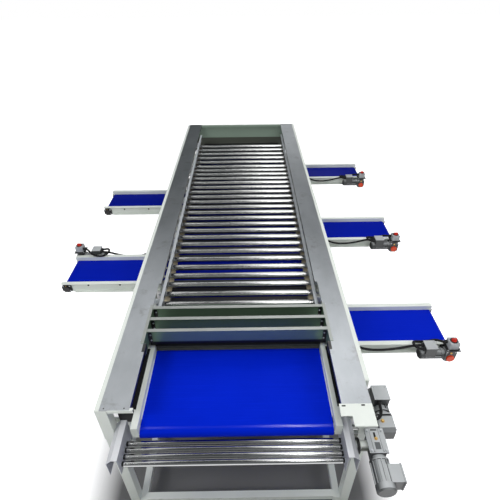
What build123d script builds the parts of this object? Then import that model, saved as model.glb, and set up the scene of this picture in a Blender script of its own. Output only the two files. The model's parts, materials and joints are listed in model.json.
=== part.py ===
"""Roller grader with a transfer belt, a short roller table and five cross conveyors.

Millimetres. X runs across the machine, Y along it from the table to the rear panel, Z up from the floor.
Every piece is drawn with Y = 0 at the near end of the top covers. At the end all pieces are shifted
along Y, so that the origin lies under the middle of the machine.
"""
import os
from math import radians, tan

from build123d import *

# Top covers and painted frame
cover_top = 1400.0
cover_length = 4936.0
cover_edge_gap = 22.0
cover_width = 178.0
cover_sheet = 3.0
cover_lip = 25.0
cover_notch = 19.0
cover_notch_start = 500.0
cover_notch_end = 1120.0
painted_edge = 30.0
beam_wall = 4.0
beam_height = 307.0
beam_flange = 76.0
leg_size = 66.0
foot_plate = 120.0
foot_thickness = 10.0
anchor_radius = 7.0
low_beam_width = 50.0
low_beam_height = 80.0
stretcher_size = 50.0
stretcher_bottom = 150.0
drive_recess_end = 186.0

# Roller bed
fine_gap_count = 22
fine_pitch = 123.5
wide_gap_count = 5
wide_pitch = 147.0
first_roller_y = 1103.0
roller_drop = 190.0
roller_diameter = 58.0
axle_across_corners = 20.0
running_clearance = 0.05
gap = 0.3
side_bar_setback = 22.0
side_bar_thickness = 7.0
side_bar_drop = 155.0
side_bar_height = 95.0
side_bar_overhang = 100.0
side_bar_rear_gap = 36.0
bar_strip_width = 26.0
bar_strip_thickness = 5.0
roller_end_gap = 10.0
bar_bracket_thickness = 8.0
bar_bracket_height = 50.0
bar_bracket_count = 5

# Friction belts under the roller ends
friction_belt_width = 28.0
friction_belt_thickness = 5.0
friction_belt_inset = 4.0
friction_drum_diameter = 50.0
friction_drum_reach = 62.0

# Cross baffles and end plates
baffle_first_y = 630.0
baffle_pitch = 114.0
baffle_count = 3
baffle_height = 170.0
baffle_sheet = 3.0
baffle_flange = 28.0
baffle_hem = 12.0
baffle_side_depth = 112.0
baffle_side_flange = 22.0
baffle_side_tail = 15.0
rear_panel_height = 420.0
rear_panel_flange = 36.0
rear_panel_lip = 36.0
apron_rise = 24.0
plate_sheet = 3.0
lintel_height = 22.0
lintel_tab_width = 20.0
lintel_tab_depth = 16.0
guard_reach = 120.0
guard_depth = 12.0
guard_overlap = 20.0
guard_overhang = 17.0
guard_notch_width = 64.0
guard_notch_depth = 62.0

# Transfer belt
transfer_drop = 220.0
transfer_belt_width = 1200.0
transfer_drum_radius = 40.0
transfer_front_y = 25.0
transfer_back_y = 600.0
transfer_side_gap = 5.0
transfer_rail_width = 42.0
transfer_rail_rise = 45.0
transfer_rail_depth = 90.0
transfer_rail_lead = 40.0
transfer_rail_nose = 50.0
transfer_rail_cut = 35.0
transfer_rail_tail = 55.0
rail_tab_length = 53.0
rail_tab_reach = 30.0
rail_tab_thickness = 4.0
chute_gap = 6.0
chute_wall_height = 28.0
transfer_shaft_diameter = 30.0
shaft_hole_clearance = 2.0
belt_thickness = 3.0

# Front roller table
table_roller_count = 4
table_roller_pitch = 40.5
table_roller_diameter = 35.0
table_first_y = -35.0
table_drop = 290.0
table_offset = -20.0
table_roller_end_gap = 18.0
table_axle_across_corners = 12.0
table_plate_width = 70.0
table_plate_flat = 36.0
table_plate_drop = 210.0
table_plate_slope = 34.0
table_plate_depth = 160.0
table_plate_front = -188.0
table_plate_back = 66.0

# Cross conveyors
right_starts = (784.0, 2236.0, 3733.0)
left_starts = (1557.0, 2980.0)
cross_inner_width = 380.0
cross_belt_drop = 376.0
cross_side_gap = 4.0
cross_drum_radius = 30.0
cross_rail_exit = 1682.0
cross_drive_margin = 35.0
cross_tail_margin = 160.0
cross_end_plate = 110.0
cross_end_depth = 80.0
rail_support_height = 40.0
cross_rail_rise = 38.0
cross_rail_depth = 64.0
cross_rail_flange = 40.0
cross_rail_wall = 4.0
pan_margin = 45.0
bearing_radius = 46.0
bearing_thickness = 26.0
bearing_flange_thickness = 12.0
bearing_boss_radius = 32.0
bearing_chamfer = 20.0
roof_rise = 55.0
roof_side_gap = 10.0

# Gear units and motors of the transfer belt and the table
gear_size = 118.0
gear_depth = 100.0
motor_radius = 57.0
motor_length = 175.0
motor_lift = 12.0
terminal_length = 100.0
terminal_width = 95.0
transfer_gear_gap = 45.0
table_gear_gap = 16.0
table_gear_width = 113.0
table_gear_length = 150.0
table_gear_back = -20.0
table_gear_drop = 200.0
table_gear_flange = 10.0
table_gear_inset = 14.0
table_gear_boss_radius = 30.0

# Gear units and motors of the cross conveyors
cross_gear_size = 92.0
cross_gear_depth = 56.0
cross_gear_rise = 73.0
cross_gear_gap = 19.0
cross_motor_radius = 44.0
cross_motor_length = 176.0
cross_motor_lift = 22.0
cross_terminal_length = 84.0
cross_terminal_width = 82.0
cross_terminal_back = 14.0
gear_seat_size = 72.0

# What all gear units and motors share
gear_chamfer_share = 0.18
gear_boss_share = 0.36
gear_boss_length = 4.0
input_flange_share = 0.88
input_flange_thickness = 10.0
input_flange_chamfer = 14.0
motor_neck = 18.0
motor_neck_share = 0.8
motor_flange_thickness = 10.0
motor_cowl_length = 42.0
motor_cowl_chamfer = 8.0
motor_fin_count = 12
motor_fin_height = 7.0
motor_fin_thickness = 6.0
terminal_height = 52.0
terminal_lid_height = 9.0
terminal_lid_margin = 3.0

# Shaft caps and isolators
cap_radius = 30.0
cap_length = 14.0
isolator_post = 50.0
isolator_post_height = 20.0
isolator_plate = 104.0
isolator_plate_thickness = 8.0
isolator_width = 72.0
isolator_height = 60.0
knob_radius = 20.0
knob_base = 8.0
knob_sides = 12
knob_grip_length = 36.0
knob_grip_height = 14.0
knob_grip_width = 11.0

# Cables and glands
cable_diameter = 20.0
drive_cable_diameter = 19.0
gland_radius = 15.0
gland_length = 20.0
drive_gland_inset = 20.0
isolator_gland_shift = 20.0
feed_sag = 58.0
feed_bow = 7.0
right_jumper_side = 60.0
left_jumper_side = 84.0
jumper_lead = 20.0
drive_gland_y = 20.0
drive_gland_drop = 7.0

# Places worked out from the driving dimensions
cover_inner = transfer_belt_width / 2 + cover_edge_gap
cover_outer = cover_inner + cover_width
half_width = cover_outer + painted_edge
web_inner = half_width - beam_wall
leg_inner = web_inner - leg_size
transfer_gear_x = half_width + transfer_gear_gap
table_gear_x = leg_inner + table_gear_gap
sheet_top = cover_top - cover_sheet
beam_bottom = sheet_top - beam_height
roller_radius = roller_diameter / 2
roller_z = cover_top - roller_drop - roller_radius
fine_end_y = first_roller_y + fine_gap_count * fine_pitch
roller_ys = [first_roller_y + i * fine_pitch for i in range(fine_gap_count + 1)]
roller_ys += [fine_end_y + (i + 1) * wide_pitch for i in range(wide_gap_count)]
last_roller_y = roller_ys[-1]
side_bar_inner = cover_inner + side_bar_setback
side_bar_outer = side_bar_inner + side_bar_thickness
bar_strip_inner = side_bar_outer - bar_strip_width
friction_inner = side_bar_inner - friction_belt_inset - friction_belt_width
roof_half_width = friction_inner - roof_side_gap
side_bar_top = cover_top - side_bar_drop
friction_top = roller_z - roller_radius - gap
friction_drum_radius = friction_drum_diameter / 2
friction_drum_z = friction_top - friction_belt_thickness - gap - friction_drum_radius
friction_drum_front_y = first_roller_y - friction_drum_reach
friction_drum_back_y = last_roller_y + friction_drum_reach
baffle_half_width = cover_inner + cover_notch - baffle_sheet
baffle_ys = [baffle_first_y + i * baffle_pitch for i in range(baffle_count)]
transfer_top = cover_top - transfer_drop
transfer_rail_inner = transfer_belt_width / 2 + transfer_side_gap
transfer_rail_front = transfer_front_y - transfer_rail_lead
transfer_rail_back = transfer_back_y + transfer_rail_tail
transfer_z = transfer_top - belt_thickness - gap - transfer_drum_radius
shaft_hole_radius = transfer_shaft_diameter / 2 + shaft_hole_clearance
table_roller_z = cover_top - table_drop - table_roller_diameter / 2
table_ys = [table_first_y - i * table_roller_pitch for i in range(table_roller_count)]
table_plate_outer = leg_inner + table_offset
table_plate_inner = table_plate_outer - table_plate_width
table_roller_half = table_plate_inner - table_roller_end_gap
table_plate_top = cover_top - table_plate_drop
table_gear_z = cover_top - table_gear_drop - gear_size / 2
cross_top = cover_top - cross_belt_drop
cross_z = cross_top - belt_thickness - gap - cross_drum_radius
rail_top = cross_top + cross_rail_rise
rail_bottom = cross_top - cross_rail_depth
low_beam_top = rail_bottom - rail_support_height
rail_inner = cross_inner_width / 2
rail_outer = rail_inner + cross_rail_flange
cross_belt_width = cross_inner_width - 2 * cross_side_gap
cross_drive_x = cross_rail_exit - cross_drive_margin
cross_tail_x = cross_tail_margin - leg_inner
right_centres = [start + rail_inner for start in right_starts]
left_centres = [start + rail_inner for start in left_starts]
# The middle legs stand half way between two cross conveyors
second_leg = (right_centres[0] + left_centres[0] - leg_size) / 2
third_leg = (left_centres[1] + right_centres[2] - leg_size) / 2
leg_starts = (0.0, second_leg, third_leg, cover_length - leg_size)
cross_gear_y = -rail_outer - cross_gear_gap - cross_gear_depth / 2
cross_motor_z = cross_z + cross_motor_lift
isolator_foot = cross_z + cross_gear_rise + isolator_post_height
isolator_low = isolator_foot + isolator_plate_thickness
isolator_top = isolator_low + isolator_height
near_end = table_gear_back - table_gear_length - motor_neck - motor_length
far_end = leg_starts[-1] + leg_size / 2 + foot_plate / 2
middle_y = (near_end + far_end) / 2


def block(x0, x1, y0, y1, z0, z1):
    """A box between two corners."""
    size = (abs(x1 - x0), abs(y1 - y0), abs(z1 - z0))
    return Pos((x0 + x1) / 2, (y0 + y1) / 2, (z0 + z1) / 2) * Box(*size)


def both_sides(solid):
    """A solid and its mirror image across the machine's middle plane."""
    return [solid, mirror(solid, about=Plane.YZ)]


def rod_x(radius, x0, x1, y, z):
    """A round bar along X."""
    return Pos((x0 + x1) / 2, y, z) * Rot(0, 90, 0) * Cylinder(radius, x1 - x0)


def rod_y(radius, y0, y1, x, z):
    """A round bar along Y."""
    return Pos(x, (y0 + y1) / 2, z) * Rot(90, 0, 0) * Cylinder(radius, y1 - y0)


def rod_z(radius, z0, z1, x, y):
    """A round bar along Z."""
    return Pos(x, y, (z0 + z1) / 2) * Cylinder(radius, z1 - z0)


def hex_bar(across_corners, half_length, y, z):
    """A hexagonal bar along X, centred on the machine."""
    outline = Plane.YZ * RegularPolygon(across_corners / 2, 6)
    return Pos(0, y, z) * extrude(outline, half_length, both=True)


def hex_nut(radius, length):
    """A hexagonal gland along Z, standing on the origin."""
    return extrude(RegularPolygon(radius, 6), length)


def section_x(points, x0, x1):
    """An outline of (y, z) points drawn out along X."""
    face = make_face(Polyline(*[(x0, y, z) for y, z in points], close=True))
    return extrude(face, x1 - x0, dir=(1, 0, 0))


def section_y(points, y0, y1):
    """An outline of (x, z) points drawn out along Y."""
    face = make_face(Polyline(*[(x, y0, z) for x, z in points], close=True))
    return extrude(face, y1 - y0, dir=(0, 1, 0))


def loop(plane, centres, drum_radius, thickness, width):
    """A flat belt round two drums; its inside clears the drums by the common gap."""
    inside = 2 * (drum_radius + gap)
    outer = extrude(plane * SlotCenterToCenter(centres, inside + 2 * thickness), width / 2, both=True)
    inner = extrude(plane * SlotCenterToCenter(centres, inside), width / 2 + 1, both=True)
    return outer - inner


# Plane whose first axis runs along the machine and whose second is up
along_plane = Plane((0, 0, 0), x_dir=(0, 1, 0), z_dir=(1, 0, 0))
# Plane whose first axis runs across the machine and whose second is up
across_plane = Plane((0, 0, 0), x_dir=(1, 0, 0), z_dir=(0, -1, 0))


def top_covers():
    """Folded stainless sheets with a lip turned down at the inner edge, cut back beside the baffles."""
    outline = [
        (cover_inner, cover_top),
        (cover_outer, cover_top),
        (cover_outer, sheet_top),
        (cover_inner + cover_sheet, sheet_top),
        (cover_inner + cover_sheet, cover_top - cover_lip),
        (cover_inner, cover_top - cover_lip),
    ]
    notch = block(cover_inner - 1, cover_inner + cover_notch, cover_notch_start, cover_notch_end,
                  cover_top - cover_lip - 1, cover_top + 1)
    return both_sides(section_y(outline, 0, cover_length) - notch)


def side_frames():
    """Upper side beams, the right one cut back beside its drive, and lower beams under the cross rails."""
    flange_inner = half_width - beam_flange
    outline = [
        (half_width, sheet_top),
        (half_width, beam_bottom),
        (web_inner, beam_bottom),
        (web_inner, sheet_top - beam_wall),
        (flange_inner, sheet_top - beam_wall),
        (flange_inner, sheet_top),
    ]
    upper = section_y(outline, 0, cover_length)
    recess = block(cover_outer, half_width + 1, -1, drive_recess_end, beam_bottom - 1, cover_top)
    lower = block(leg_inner - low_beam_width, leg_inner, leg_size, cover_length - leg_size,
                  low_beam_top - low_beam_height, low_beam_top)
    return [mirror(upper, about=Plane.YZ), upper - recess, recess_plate()] + both_sides(lower)


def recess_plate():
    """Closes the side behind the transfer drive and passes its shaft."""
    top = sheet_top - beam_wall
    side = block(cover_outer - beam_wall, cover_outer, 0, drive_recess_end, beam_bottom, top)
    end = block(cover_outer, web_inner, drive_recess_end - beam_wall, drive_recess_end, beam_bottom, top)
    hole = rod_x(shaft_hole_radius, cover_outer - beam_wall - 1, cover_outer + 1, transfer_front_y, transfer_z)
    return side + end - hole


def legs():
    """Square posts on drilled foot plates, long stretchers and cross ties."""
    solids = []
    hole = rod_x(shaft_hole_radius, leg_inner - 1, web_inner + 1, transfer_front_y, transfer_z)
    recess = block(cover_outer - beam_wall, web_inner + 1, -1, leg_size + 1, beam_bottom, cover_top)
    for number, start in enumerate(leg_starts):
        middle_x = leg_inner + leg_size / 2
        middle_leg = start + leg_size / 2
        post = block(leg_inner, web_inner, start, start + leg_size, foot_thickness, sheet_top - beam_wall)
        plate = Pos(middle_x, middle_leg, foot_thickness / 2) * Box(foot_plate, foot_plate, foot_thickness)
        anchor_x = leg_inner - (foot_plate - leg_size) / 4
        drilled = plate - rod_z(anchor_radius, -1, foot_thickness + 1, anchor_x, middle_leg)
        solids.append(mirror(post, about=Plane.YZ))
        solids.append(post - hole - recess if number == 0 else post)
        solids.extend(both_sides(drilled))
        tie_end = leg_inner - stretcher_size
        tie_near = middle_leg - stretcher_size / 2
        solids.append(block(-tie_end, tie_end, tie_near, tie_near + stretcher_size,
                            stretcher_bottom, stretcher_bottom + stretcher_size))
    stretcher = block(leg_inner - stretcher_size, leg_inner, 0, cover_length,
                      stretcher_bottom, stretcher_bottom + stretcher_size)
    return solids + both_sides(stretcher)


def cross_baffle(y):
    """A cross plate with a flange along its top and a hem along its foot, both turned to the table."""
    outline = [
        (y + baffle_sheet, cover_top),
        (y + baffle_sheet - baffle_flange, cover_top),
        (y + baffle_sheet - baffle_flange, cover_top - baffle_sheet),
        (y, cover_top - baffle_sheet),
        (y, cover_top - baffle_height),
        (y + baffle_sheet, cover_top - baffle_height),
    ]
    foot = cover_top - baffle_height
    hem_half = transfer_rail_inner - gap
    hem = block(-hem_half, hem_half, y - baffle_hem, y, foot, foot + baffle_sheet)
    return section_x(outline, -baffle_half_width, baffle_half_width) + hem


def baffle_side():
    """The side plate that holds the baffles' ends, with a flange that lies on the top cover."""
    outer = baffle_half_width + baffle_sheet
    low = cover_top - baffle_side_depth
    outline = [
        (baffle_half_width, low),
        (baffle_half_width, cover_top + baffle_sheet),
        (baffle_half_width + baffle_side_flange, cover_top + baffle_sheet),
        (baffle_half_width + baffle_side_flange, cover_top),
        (outer, cover_top),
        (outer, low),
    ]
    return section_y(outline, cover_notch_start, baffle_ys[-1] + baffle_side_tail)


def end_apron():
    """A drop plate from the rear panel down to the last cross conveyor."""
    near = right_centres[-1] + rail_outer - cross_rail_flange / 2
    far = cover_length - plate_sheet
    outline = [
        (near, rail_top),
        (far, rail_top + apron_rise),
        (far, rail_top + apron_rise + plate_sheet),
        (near, rail_top + plate_sheet),
    ]
    return section_x(outline, -roof_half_width, roof_half_width)


def baffle_plates():
    """Sheet in the product's way: the cross baffles with their sides, the drop plates under the rollers."""
    solids = [cross_baffle(y) for y in baffle_ys] + both_sides(baffle_side())
    centres = sorted(right_centres + left_centres)
    seat = cross_rail_flange / 2
    for near, far in zip(centres, centres[1:]):
        solids.append(roof_plate(near + rail_outer - seat, far - rail_outer + seat))
    return solids + [end_apron()]


def roof_plate(near_edge, far_edge):
    """A folded drop plate that stands on the rails of two cross conveyors."""
    ridge = (near_edge + far_edge) / 2
    outline = [
        (near_edge, rail_top),
        (ridge, rail_top + roof_rise),
        (far_edge, rail_top),
        (far_edge, rail_top + plate_sheet),
        (ridge, rail_top + roof_rise + plate_sheet),
        (near_edge, rail_top + plate_sheet),
    ]
    return section_x(outline, -roof_half_width, roof_half_width)


def rear_panel():
    """The end panel with a folded flange and lip along its top and a wing to each leg under the covers."""
    near = cover_length - rear_panel_flange
    outline = [
        (near, cover_top),
        (cover_length, cover_top),
        (cover_length, cover_top - rear_panel_height),
        (cover_length - plate_sheet, cover_top - rear_panel_height),
        (cover_length - plate_sheet, cover_top - plate_sheet),
        (near + plate_sheet, cover_top - plate_sheet),
        (near + plate_sheet, cover_top - rear_panel_lip),
        (near, cover_top - rear_panel_lip),
    ]
    wings = block(-leg_inner, leg_inner, cover_length - plate_sheet, cover_length,
                  cover_top - rear_panel_height, cover_top - cover_lip - gap)
    return section_x(outline, -cover_inner, cover_inner) + wings


def left_lintel():
    """A strip across the mouth of the left side box with a tab beside the cover."""
    inner = lintel_tab_width - cover_inner
    strip = block(beam_flange - half_width, inner, -plate_sheet, 0, sheet_top - lintel_height, cover_top)
    tab = block(-cover_inner, inner, 0, lintel_tab_depth, cover_top - plate_sheet, cover_top)
    return strip + tab


def drive_guard():
    """The guard on the right front corner of the cover, notched for the table and folded down in front."""
    inner = cover_inner - guard_overhang
    notch_x = inner + guard_notch_width
    top = cover_top + plate_sheet
    plate = block(inner, cover_outer, -guard_reach, guard_overlap, cover_top, top)
    notch_end = guard_notch_depth - guard_reach
    notch = block(inner - 1, notch_x, -guard_reach - 1, notch_end, cover_top - 1, top + 1)
    skirt = block(notch_x, cover_outer, -guard_reach, plate_sheet - guard_reach, top - guard_depth, top)
    return plate - notch + skirt


def table_mounts():
    """The block between the right table plate and its leg, and the boss of the table's gear unit."""
    plate_x = table_plate_outer + table_offset
    foot = table_plate_top - table_plate_depth
    mount_top = transfer_z - transfer_shaft_diameter
    mount = block(plate_x, leg_inner, 0, leg_size, foot, mount_top)
    y = table_gear_back - table_gear_length / 2
    boss = rod_x(table_gear_boss_radius, plate_x, table_gear_x + table_gear_inset, y, table_gear_z)
    return [mount, boss]


def painted_plates():
    """Rear panel, left lintel, right drive guard and the table's mounts."""
    return [rear_panel(), left_lintel(), drive_guard()] + table_mounts()


def side_bars():
    """Zinc plated bars that hold the roller axles, with hangers for the friction drums and with brackets."""
    front = first_roller_y - side_bar_overhang
    back = cover_length - side_bar_rear_gap
    low = side_bar_top - side_bar_height
    bar_top = side_bar_top - bar_strip_thickness
    hanger_low = friction_drum_z - friction_drum_radius
    hanger_half = side_bar_overhang - friction_drum_reach
    outline = [
        (front, bar_top),
        (back, bar_top),
        (back, low),
        (friction_drum_back_y + hanger_half, low),
        (friction_drum_back_y + hanger_half, hanger_low),
        (friction_drum_back_y - hanger_half, hanger_low),
        (friction_drum_back_y - hanger_half, low),
        (friction_drum_front_y + hanger_half, low),
        (friction_drum_front_y + hanger_half, hanger_low),
        (front, hanger_low),
    ]
    solids = both_sides(section_x(outline, side_bar_inner, side_bar_outer))
    solids += both_sides(block(bar_strip_inner, side_bar_outer, front, back, bar_top, side_bar_top))
    step = (last_roller_y - first_roller_y) / (bar_bracket_count - 1)
    for number in range(bar_bracket_count):
        y = first_roller_y + number * step
        bracket = block(side_bar_outer, web_inner, y, y + bar_bracket_thickness,
                        side_bar_top - bar_bracket_height, side_bar_top)
        solids.extend(both_sides(bracket))
    return solids


def roller_axles():
    """Hexagonal dead axles of the grader rollers, clamped between the side bars."""
    return [hex_bar(axle_across_corners, side_bar_inner, y, roller_z) for y in roller_ys]


def tube_roller(radius, bore, half_length, y, z):
    """A roller that turns on its dead axle."""
    tube = rod_x(radius, -half_length, half_length, y, z)
    return tube - rod_x(bore, -half_length - 1, half_length + 1, y, z)


def grader_roller(number):
    bore = axle_across_corners / 2 + running_clearance
    return tube_roller(roller_radius, bore, side_bar_inner - roller_end_gap, roller_ys[number], roller_z)


def table_roller(number):
    bore = table_axle_across_corners / 2 + running_clearance
    radius = table_roller_diameter / 2
    roller = tube_roller(radius, bore, table_roller_half, table_ys[number], table_roller_z)
    return Pos(table_offset, 0, 0) * roller


def friction_belts():
    """Cream belts that run under both ends of the rollers and drive them."""
    centres = friction_drum_back_y - friction_drum_front_y
    belt = loop(along_plane, centres, friction_drum_radius, friction_belt_thickness, friction_belt_width)
    x = friction_inner + friction_belt_width / 2
    return both_sides(Pos(x, (friction_drum_front_y + friction_drum_back_y) / 2, friction_drum_z) * belt)


def friction_drum(y):
    """A drum between the side bars that turns both friction belts."""
    end = side_bar_inner - gap
    return rod_x(friction_drum_radius, -end, end, y, friction_drum_z)


def transfer_drum(y, right_end):
    """A drum between the transfer rails, with journals through them."""
    journal = transfer_shaft_diameter / 2
    half = transfer_rail_inner - gap
    left_end = transfer_rail_inner + transfer_rail_width
    drum = rod_x(transfer_drum_radius, -half, half, y, transfer_z)
    return drum + rod_x(journal, -left_end, right_end, y, transfer_z)


def transfer_belt():
    centres = transfer_back_y - transfer_front_y
    belt = loop(along_plane, centres, transfer_drum_radius, belt_thickness, transfer_belt_width)
    return Pos(0, (transfer_front_y + transfer_back_y) / 2, transfer_z) * belt


def transfer_rails():
    """White side rails of the transfer belt with bored ends for its drums, its pan and its brackets."""
    top = transfer_top + transfer_rail_rise
    low = transfer_top - transfer_rail_depth
    outer = transfer_rail_inner + transfer_rail_width
    outline = [
        (transfer_rail_front, top),
        (transfer_rail_back, top),
        (transfer_rail_back, low),
        (transfer_rail_front + transfer_rail_cut, low),
        (transfer_rail_front, transfer_top - transfer_rail_nose),
    ]
    rail = section_x(outline, transfer_rail_inner, outer)
    hole_radius = transfer_shaft_diameter / 2 + running_clearance
    for y in (transfer_front_y, transfer_back_y):
        rail = rail - rod_x(hole_radius, transfer_rail_inner - 1, outer + 1, y, transfer_z)
    tab = block(transfer_rail_inner, outer + rail_tab_reach, transfer_rail_back - rail_tab_length,
                transfer_rail_back, top, top + rail_tab_thickness)
    pan_reach = transfer_drum_radius + pan_margin / 4
    pan_top = transfer_top - belt_thickness
    pan = block(-transfer_rail_inner, transfer_rail_inner, transfer_front_y + pan_reach,
                transfer_back_y - pan_reach, pan_top - plate_sheet, pan_top)
    bracket = block(outer, web_inner, leg_size + pan_margin, leg_size + pan_margin + bar_bracket_thickness,
                    low, low + bar_bracket_height)
    far = block(outer, web_inner, transfer_rail_back - bar_bracket_thickness, transfer_rail_back,
                beam_bottom, beam_bottom + bar_bracket_height)
    right_bracket = block(outer, cover_outer - beam_wall, leg_size + pan_margin,
                          leg_size + pan_margin + bar_bracket_thickness, low, low + bar_bracket_height)
    sides = both_sides(rail) + both_sides(tab) + both_sides(far)
    return sides + [pan, mirror(bracket, about=Plane.YZ), right_bracket] + transfer_chute()


def transfer_chute():
    """The plate from the rollers to the transfer belt with its side walls and brackets."""
    near = transfer_back_y + transfer_drum_radius + belt_thickness + gap + chute_gap / 2
    far = first_roller_y - roller_radius - chute_gap
    low = transfer_top + belt_thickness
    floor_top = low + plate_sheet
    floor = block(-transfer_rail_inner, transfer_rail_inner, near, far, low, floor_top)
    wall = block(transfer_rail_inner - plate_sheet, transfer_rail_inner, near, far,
                 floor_top, floor_top + chute_wall_height)
    middle = (near + far) / 2
    bracket = block(transfer_rail_inner, web_inner, middle, middle + bar_bracket_thickness,
                    floor_top - bar_bracket_height, floor_top)
    return [floor] + both_sides(wall) + both_sides(bracket)


def place_right(solid, centre):
    """Puts a piece drawn for a right-hand conveyor at its place along the machine."""
    return Pos(0, centre, 0) * solid


def place_left(solid, centre):
    """A left-hand conveyor is a right-hand one turned round."""
    return Pos(0, centre, 0) * Rot(0, 0, 180) * solid


def on_all_conveyors(solids):
    placed = []
    for solid in solids:
        placed.extend(place_right(solid, centre) for centre in right_centres)
        placed.extend(place_left(solid, centre) for centre in left_centres)
    return placed


def on_driven_conveyors(solids):
    """Only the near left-hand conveyor shows a gear unit; the far one has its motor in the drum."""
    placed = []
    for solid in solids:
        placed.extend(place_right(solid, centre) for centre in right_centres)
        placed.append(place_left(solid, left_centres[0]))
    return placed


def channel_rail(side):
    """A channel rail open to the outside, near (-1) or far (1); its end keeps the top flange only."""
    web = rail_inner + cross_rail_wall
    outline = [
        (rail_inner, rail_top),
        (rail_outer, rail_top),
        (rail_outer, rail_top - cross_rail_wall),
        (web, rail_top - cross_rail_wall),
        (web, rail_bottom + cross_rail_wall),
        (rail_outer, rail_bottom + cross_rail_wall),
        (rail_outer, rail_bottom),
        (rail_inner, rail_bottom),
    ]
    channel_end = cross_rail_exit - cross_end_plate
    channel = section_x([(side * y, z) for y, z in outline], -leg_inner, channel_end)
    plate = block(channel_end, cross_rail_exit, side * rail_inner, side * web,
                  cross_top - cross_end_depth, rail_top)
    flange = block(channel_end, cross_rail_exit, side * rail_inner, side * rail_outer,
                   rail_top - cross_rail_wall, rail_top)
    return channel + plate + flange


def conveyor_frames():
    pan_top = cross_top - belt_thickness
    pan = block(cross_tail_x + pan_margin, cross_drive_x - pan_margin, -rail_inner, rail_inner,
                pan_top - plate_sheet, pan_top)
    solids = [channel_rail(-1), channel_rail(1), pan]
    for side in (-1, 1):
        support = block(leg_inner - low_beam_width, leg_inner, side * rail_inner, side * rail_outer,
                        rail_bottom - rail_support_height, rail_bottom)
        solids.extend(both_sides(support))
    return on_all_conveyors(solids) + transfer_rails()


def conveyor_belts():
    centres = cross_drive_x - cross_tail_x
    belt = loop(across_plane, centres, cross_drum_radius, belt_thickness, cross_belt_width)
    placed = Pos((cross_drive_x + cross_tail_x) / 2, 0, cross_z) * belt
    return on_all_conveyors([placed]) + [transfer_belt()]


def cross_drum(x):
    half = rail_inner - gap
    return rod_y(cross_drum_radius, -half, half, x, cross_z)


def flange_bearing():
    """A square flange with cut corners and a round boss, its back face on the XZ plane, towards +Y."""
    side = 2 * bearing_radius
    flange = chamfer(Box(side, bearing_flange_thickness, side).edges().filter_by(Axis.Y), bearing_chamfer)
    boss = rod_y(bearing_boss_radius, 0, bearing_thickness, 0, 0)
    return Pos(0, bearing_flange_thickness / 2, 0) * flange + boss


def drum_bearings():
    """Black flange bearings of the drive drums, and the seats and isolator brackets of the gear units."""
    web = rail_inner + cross_rail_wall
    far_side = Pos(cross_drive_x, web, cross_z) * flange_bearing()
    near_side = Pos(cross_drive_x, -web, cross_z) * Rot(0, 0, 180) * flange_bearing()
    half = gear_seat_size / 2
    gear_seat = block(cross_drive_x - half, cross_drive_x + half, cross_gear_y + cross_gear_depth / 2, -web,
                      cross_z - half, cross_z + half)
    plate = Pos(cross_drive_x, cross_gear_y, isolator_foot + isolator_plate_thickness / 2) \
        * Box(isolator_plate, isolator_plate, isolator_plate_thickness)
    post = Pos(cross_drive_x, cross_gear_y, isolator_foot - isolator_post_height / 2) \
        * Box(isolator_post, isolator_post, isolator_post_height)
    seats = on_driven_conveyors([gear_seat, plate + post])
    return on_all_conveyors([far_side]) + seats + [place_left(near_side, left_centres[1])]


def gear_body(size, depth, rise, lift):
    """A worm gear housing: output axis along Y, cut corners, a round boss and the motor's flange on -X.

    rise is its height above the output axis and lift that of the motor's axis."""
    middle = (rise - size / 2) / 2
    housing = Box(size, depth, rise + size / 2)
    housing = Pos(0, 0, middle) * chamfer(housing.edges().filter_by(Axis.Y), gear_chamfer_share * size)
    boss = rod_y(gear_boss_share * size, -depth / 2 - gear_boss_length, depth / 2, 0, 0)
    side = input_flange_share * size
    flange = Box(input_flange_thickness, side, side)
    flange = chamfer(flange.edges().filter_by(Axis.X), input_flange_chamfer)
    return housing + boss + Pos((input_flange_thickness - size) / 2, 0, lift) * flange


def motor_body(radius, length, box_length, box_width, box_back=0):
    """A finned motor along -X with its neck at X = 0, a fan cowl and a lidded terminal box on top.

    box_back shifts the terminal box from the motor's middle towards the cowl."""
    front = -motor_neck
    back = front - length
    cowl_front = back + motor_cowl_length
    neck = rod_x(motor_neck_share * radius, front, 0, 0, 0)
    flange = rod_x(radius, front - motor_flange_thickness, front, 0, 0)
    core = rod_x(radius - motor_fin_height, cowl_front, front, 0, 0)
    cowl = rod_x(radius, back, cowl_front, 0, 0)
    cowl = chamfer(cowl.edges().sort_by(Axis.X)[0], motor_cowl_chamfer)
    fin = block(cowl_front, front, -motor_fin_thickness / 2, motor_fin_thickness / 2, 0, radius)
    fins = [Rot(number * 360 / motor_fin_count, 0, 0) * fin for number in range(motor_fin_count)]
    middle = front - length / 2 - box_back
    half_length, half_width_y = box_length / 2, box_width / 2
    lid_top = radius + terminal_height
    lid_low = lid_top - terminal_lid_height
    box = block(middle - half_length, middle + half_length, -half_width_y, half_width_y, 0, lid_low)
    edge = terminal_lid_margin
    lid = block(middle - half_length - edge, middle + half_length + edge, -half_width_y - edge,
                half_width_y + edge, lid_low, lid_top)
    return Solid.fuse(neck, flange, core, cowl, *fins, box, lid)


def front_motor():
    return motor_body(motor_radius, motor_length, terminal_length, terminal_width)


def cross_gearmotor():
    gear = gear_body(cross_gear_size, cross_gear_depth, cross_gear_rise, cross_motor_lift)
    motor = motor_body(cross_motor_radius, cross_motor_length, cross_terminal_length, cross_terminal_width,
                       cross_terminal_back)
    return [Pos(cross_drive_x, cross_gear_y, cross_z) * gear,
            Pos(cross_drive_x - cross_gear_size / 2, cross_gear_y, cross_motor_z) * motor]


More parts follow.
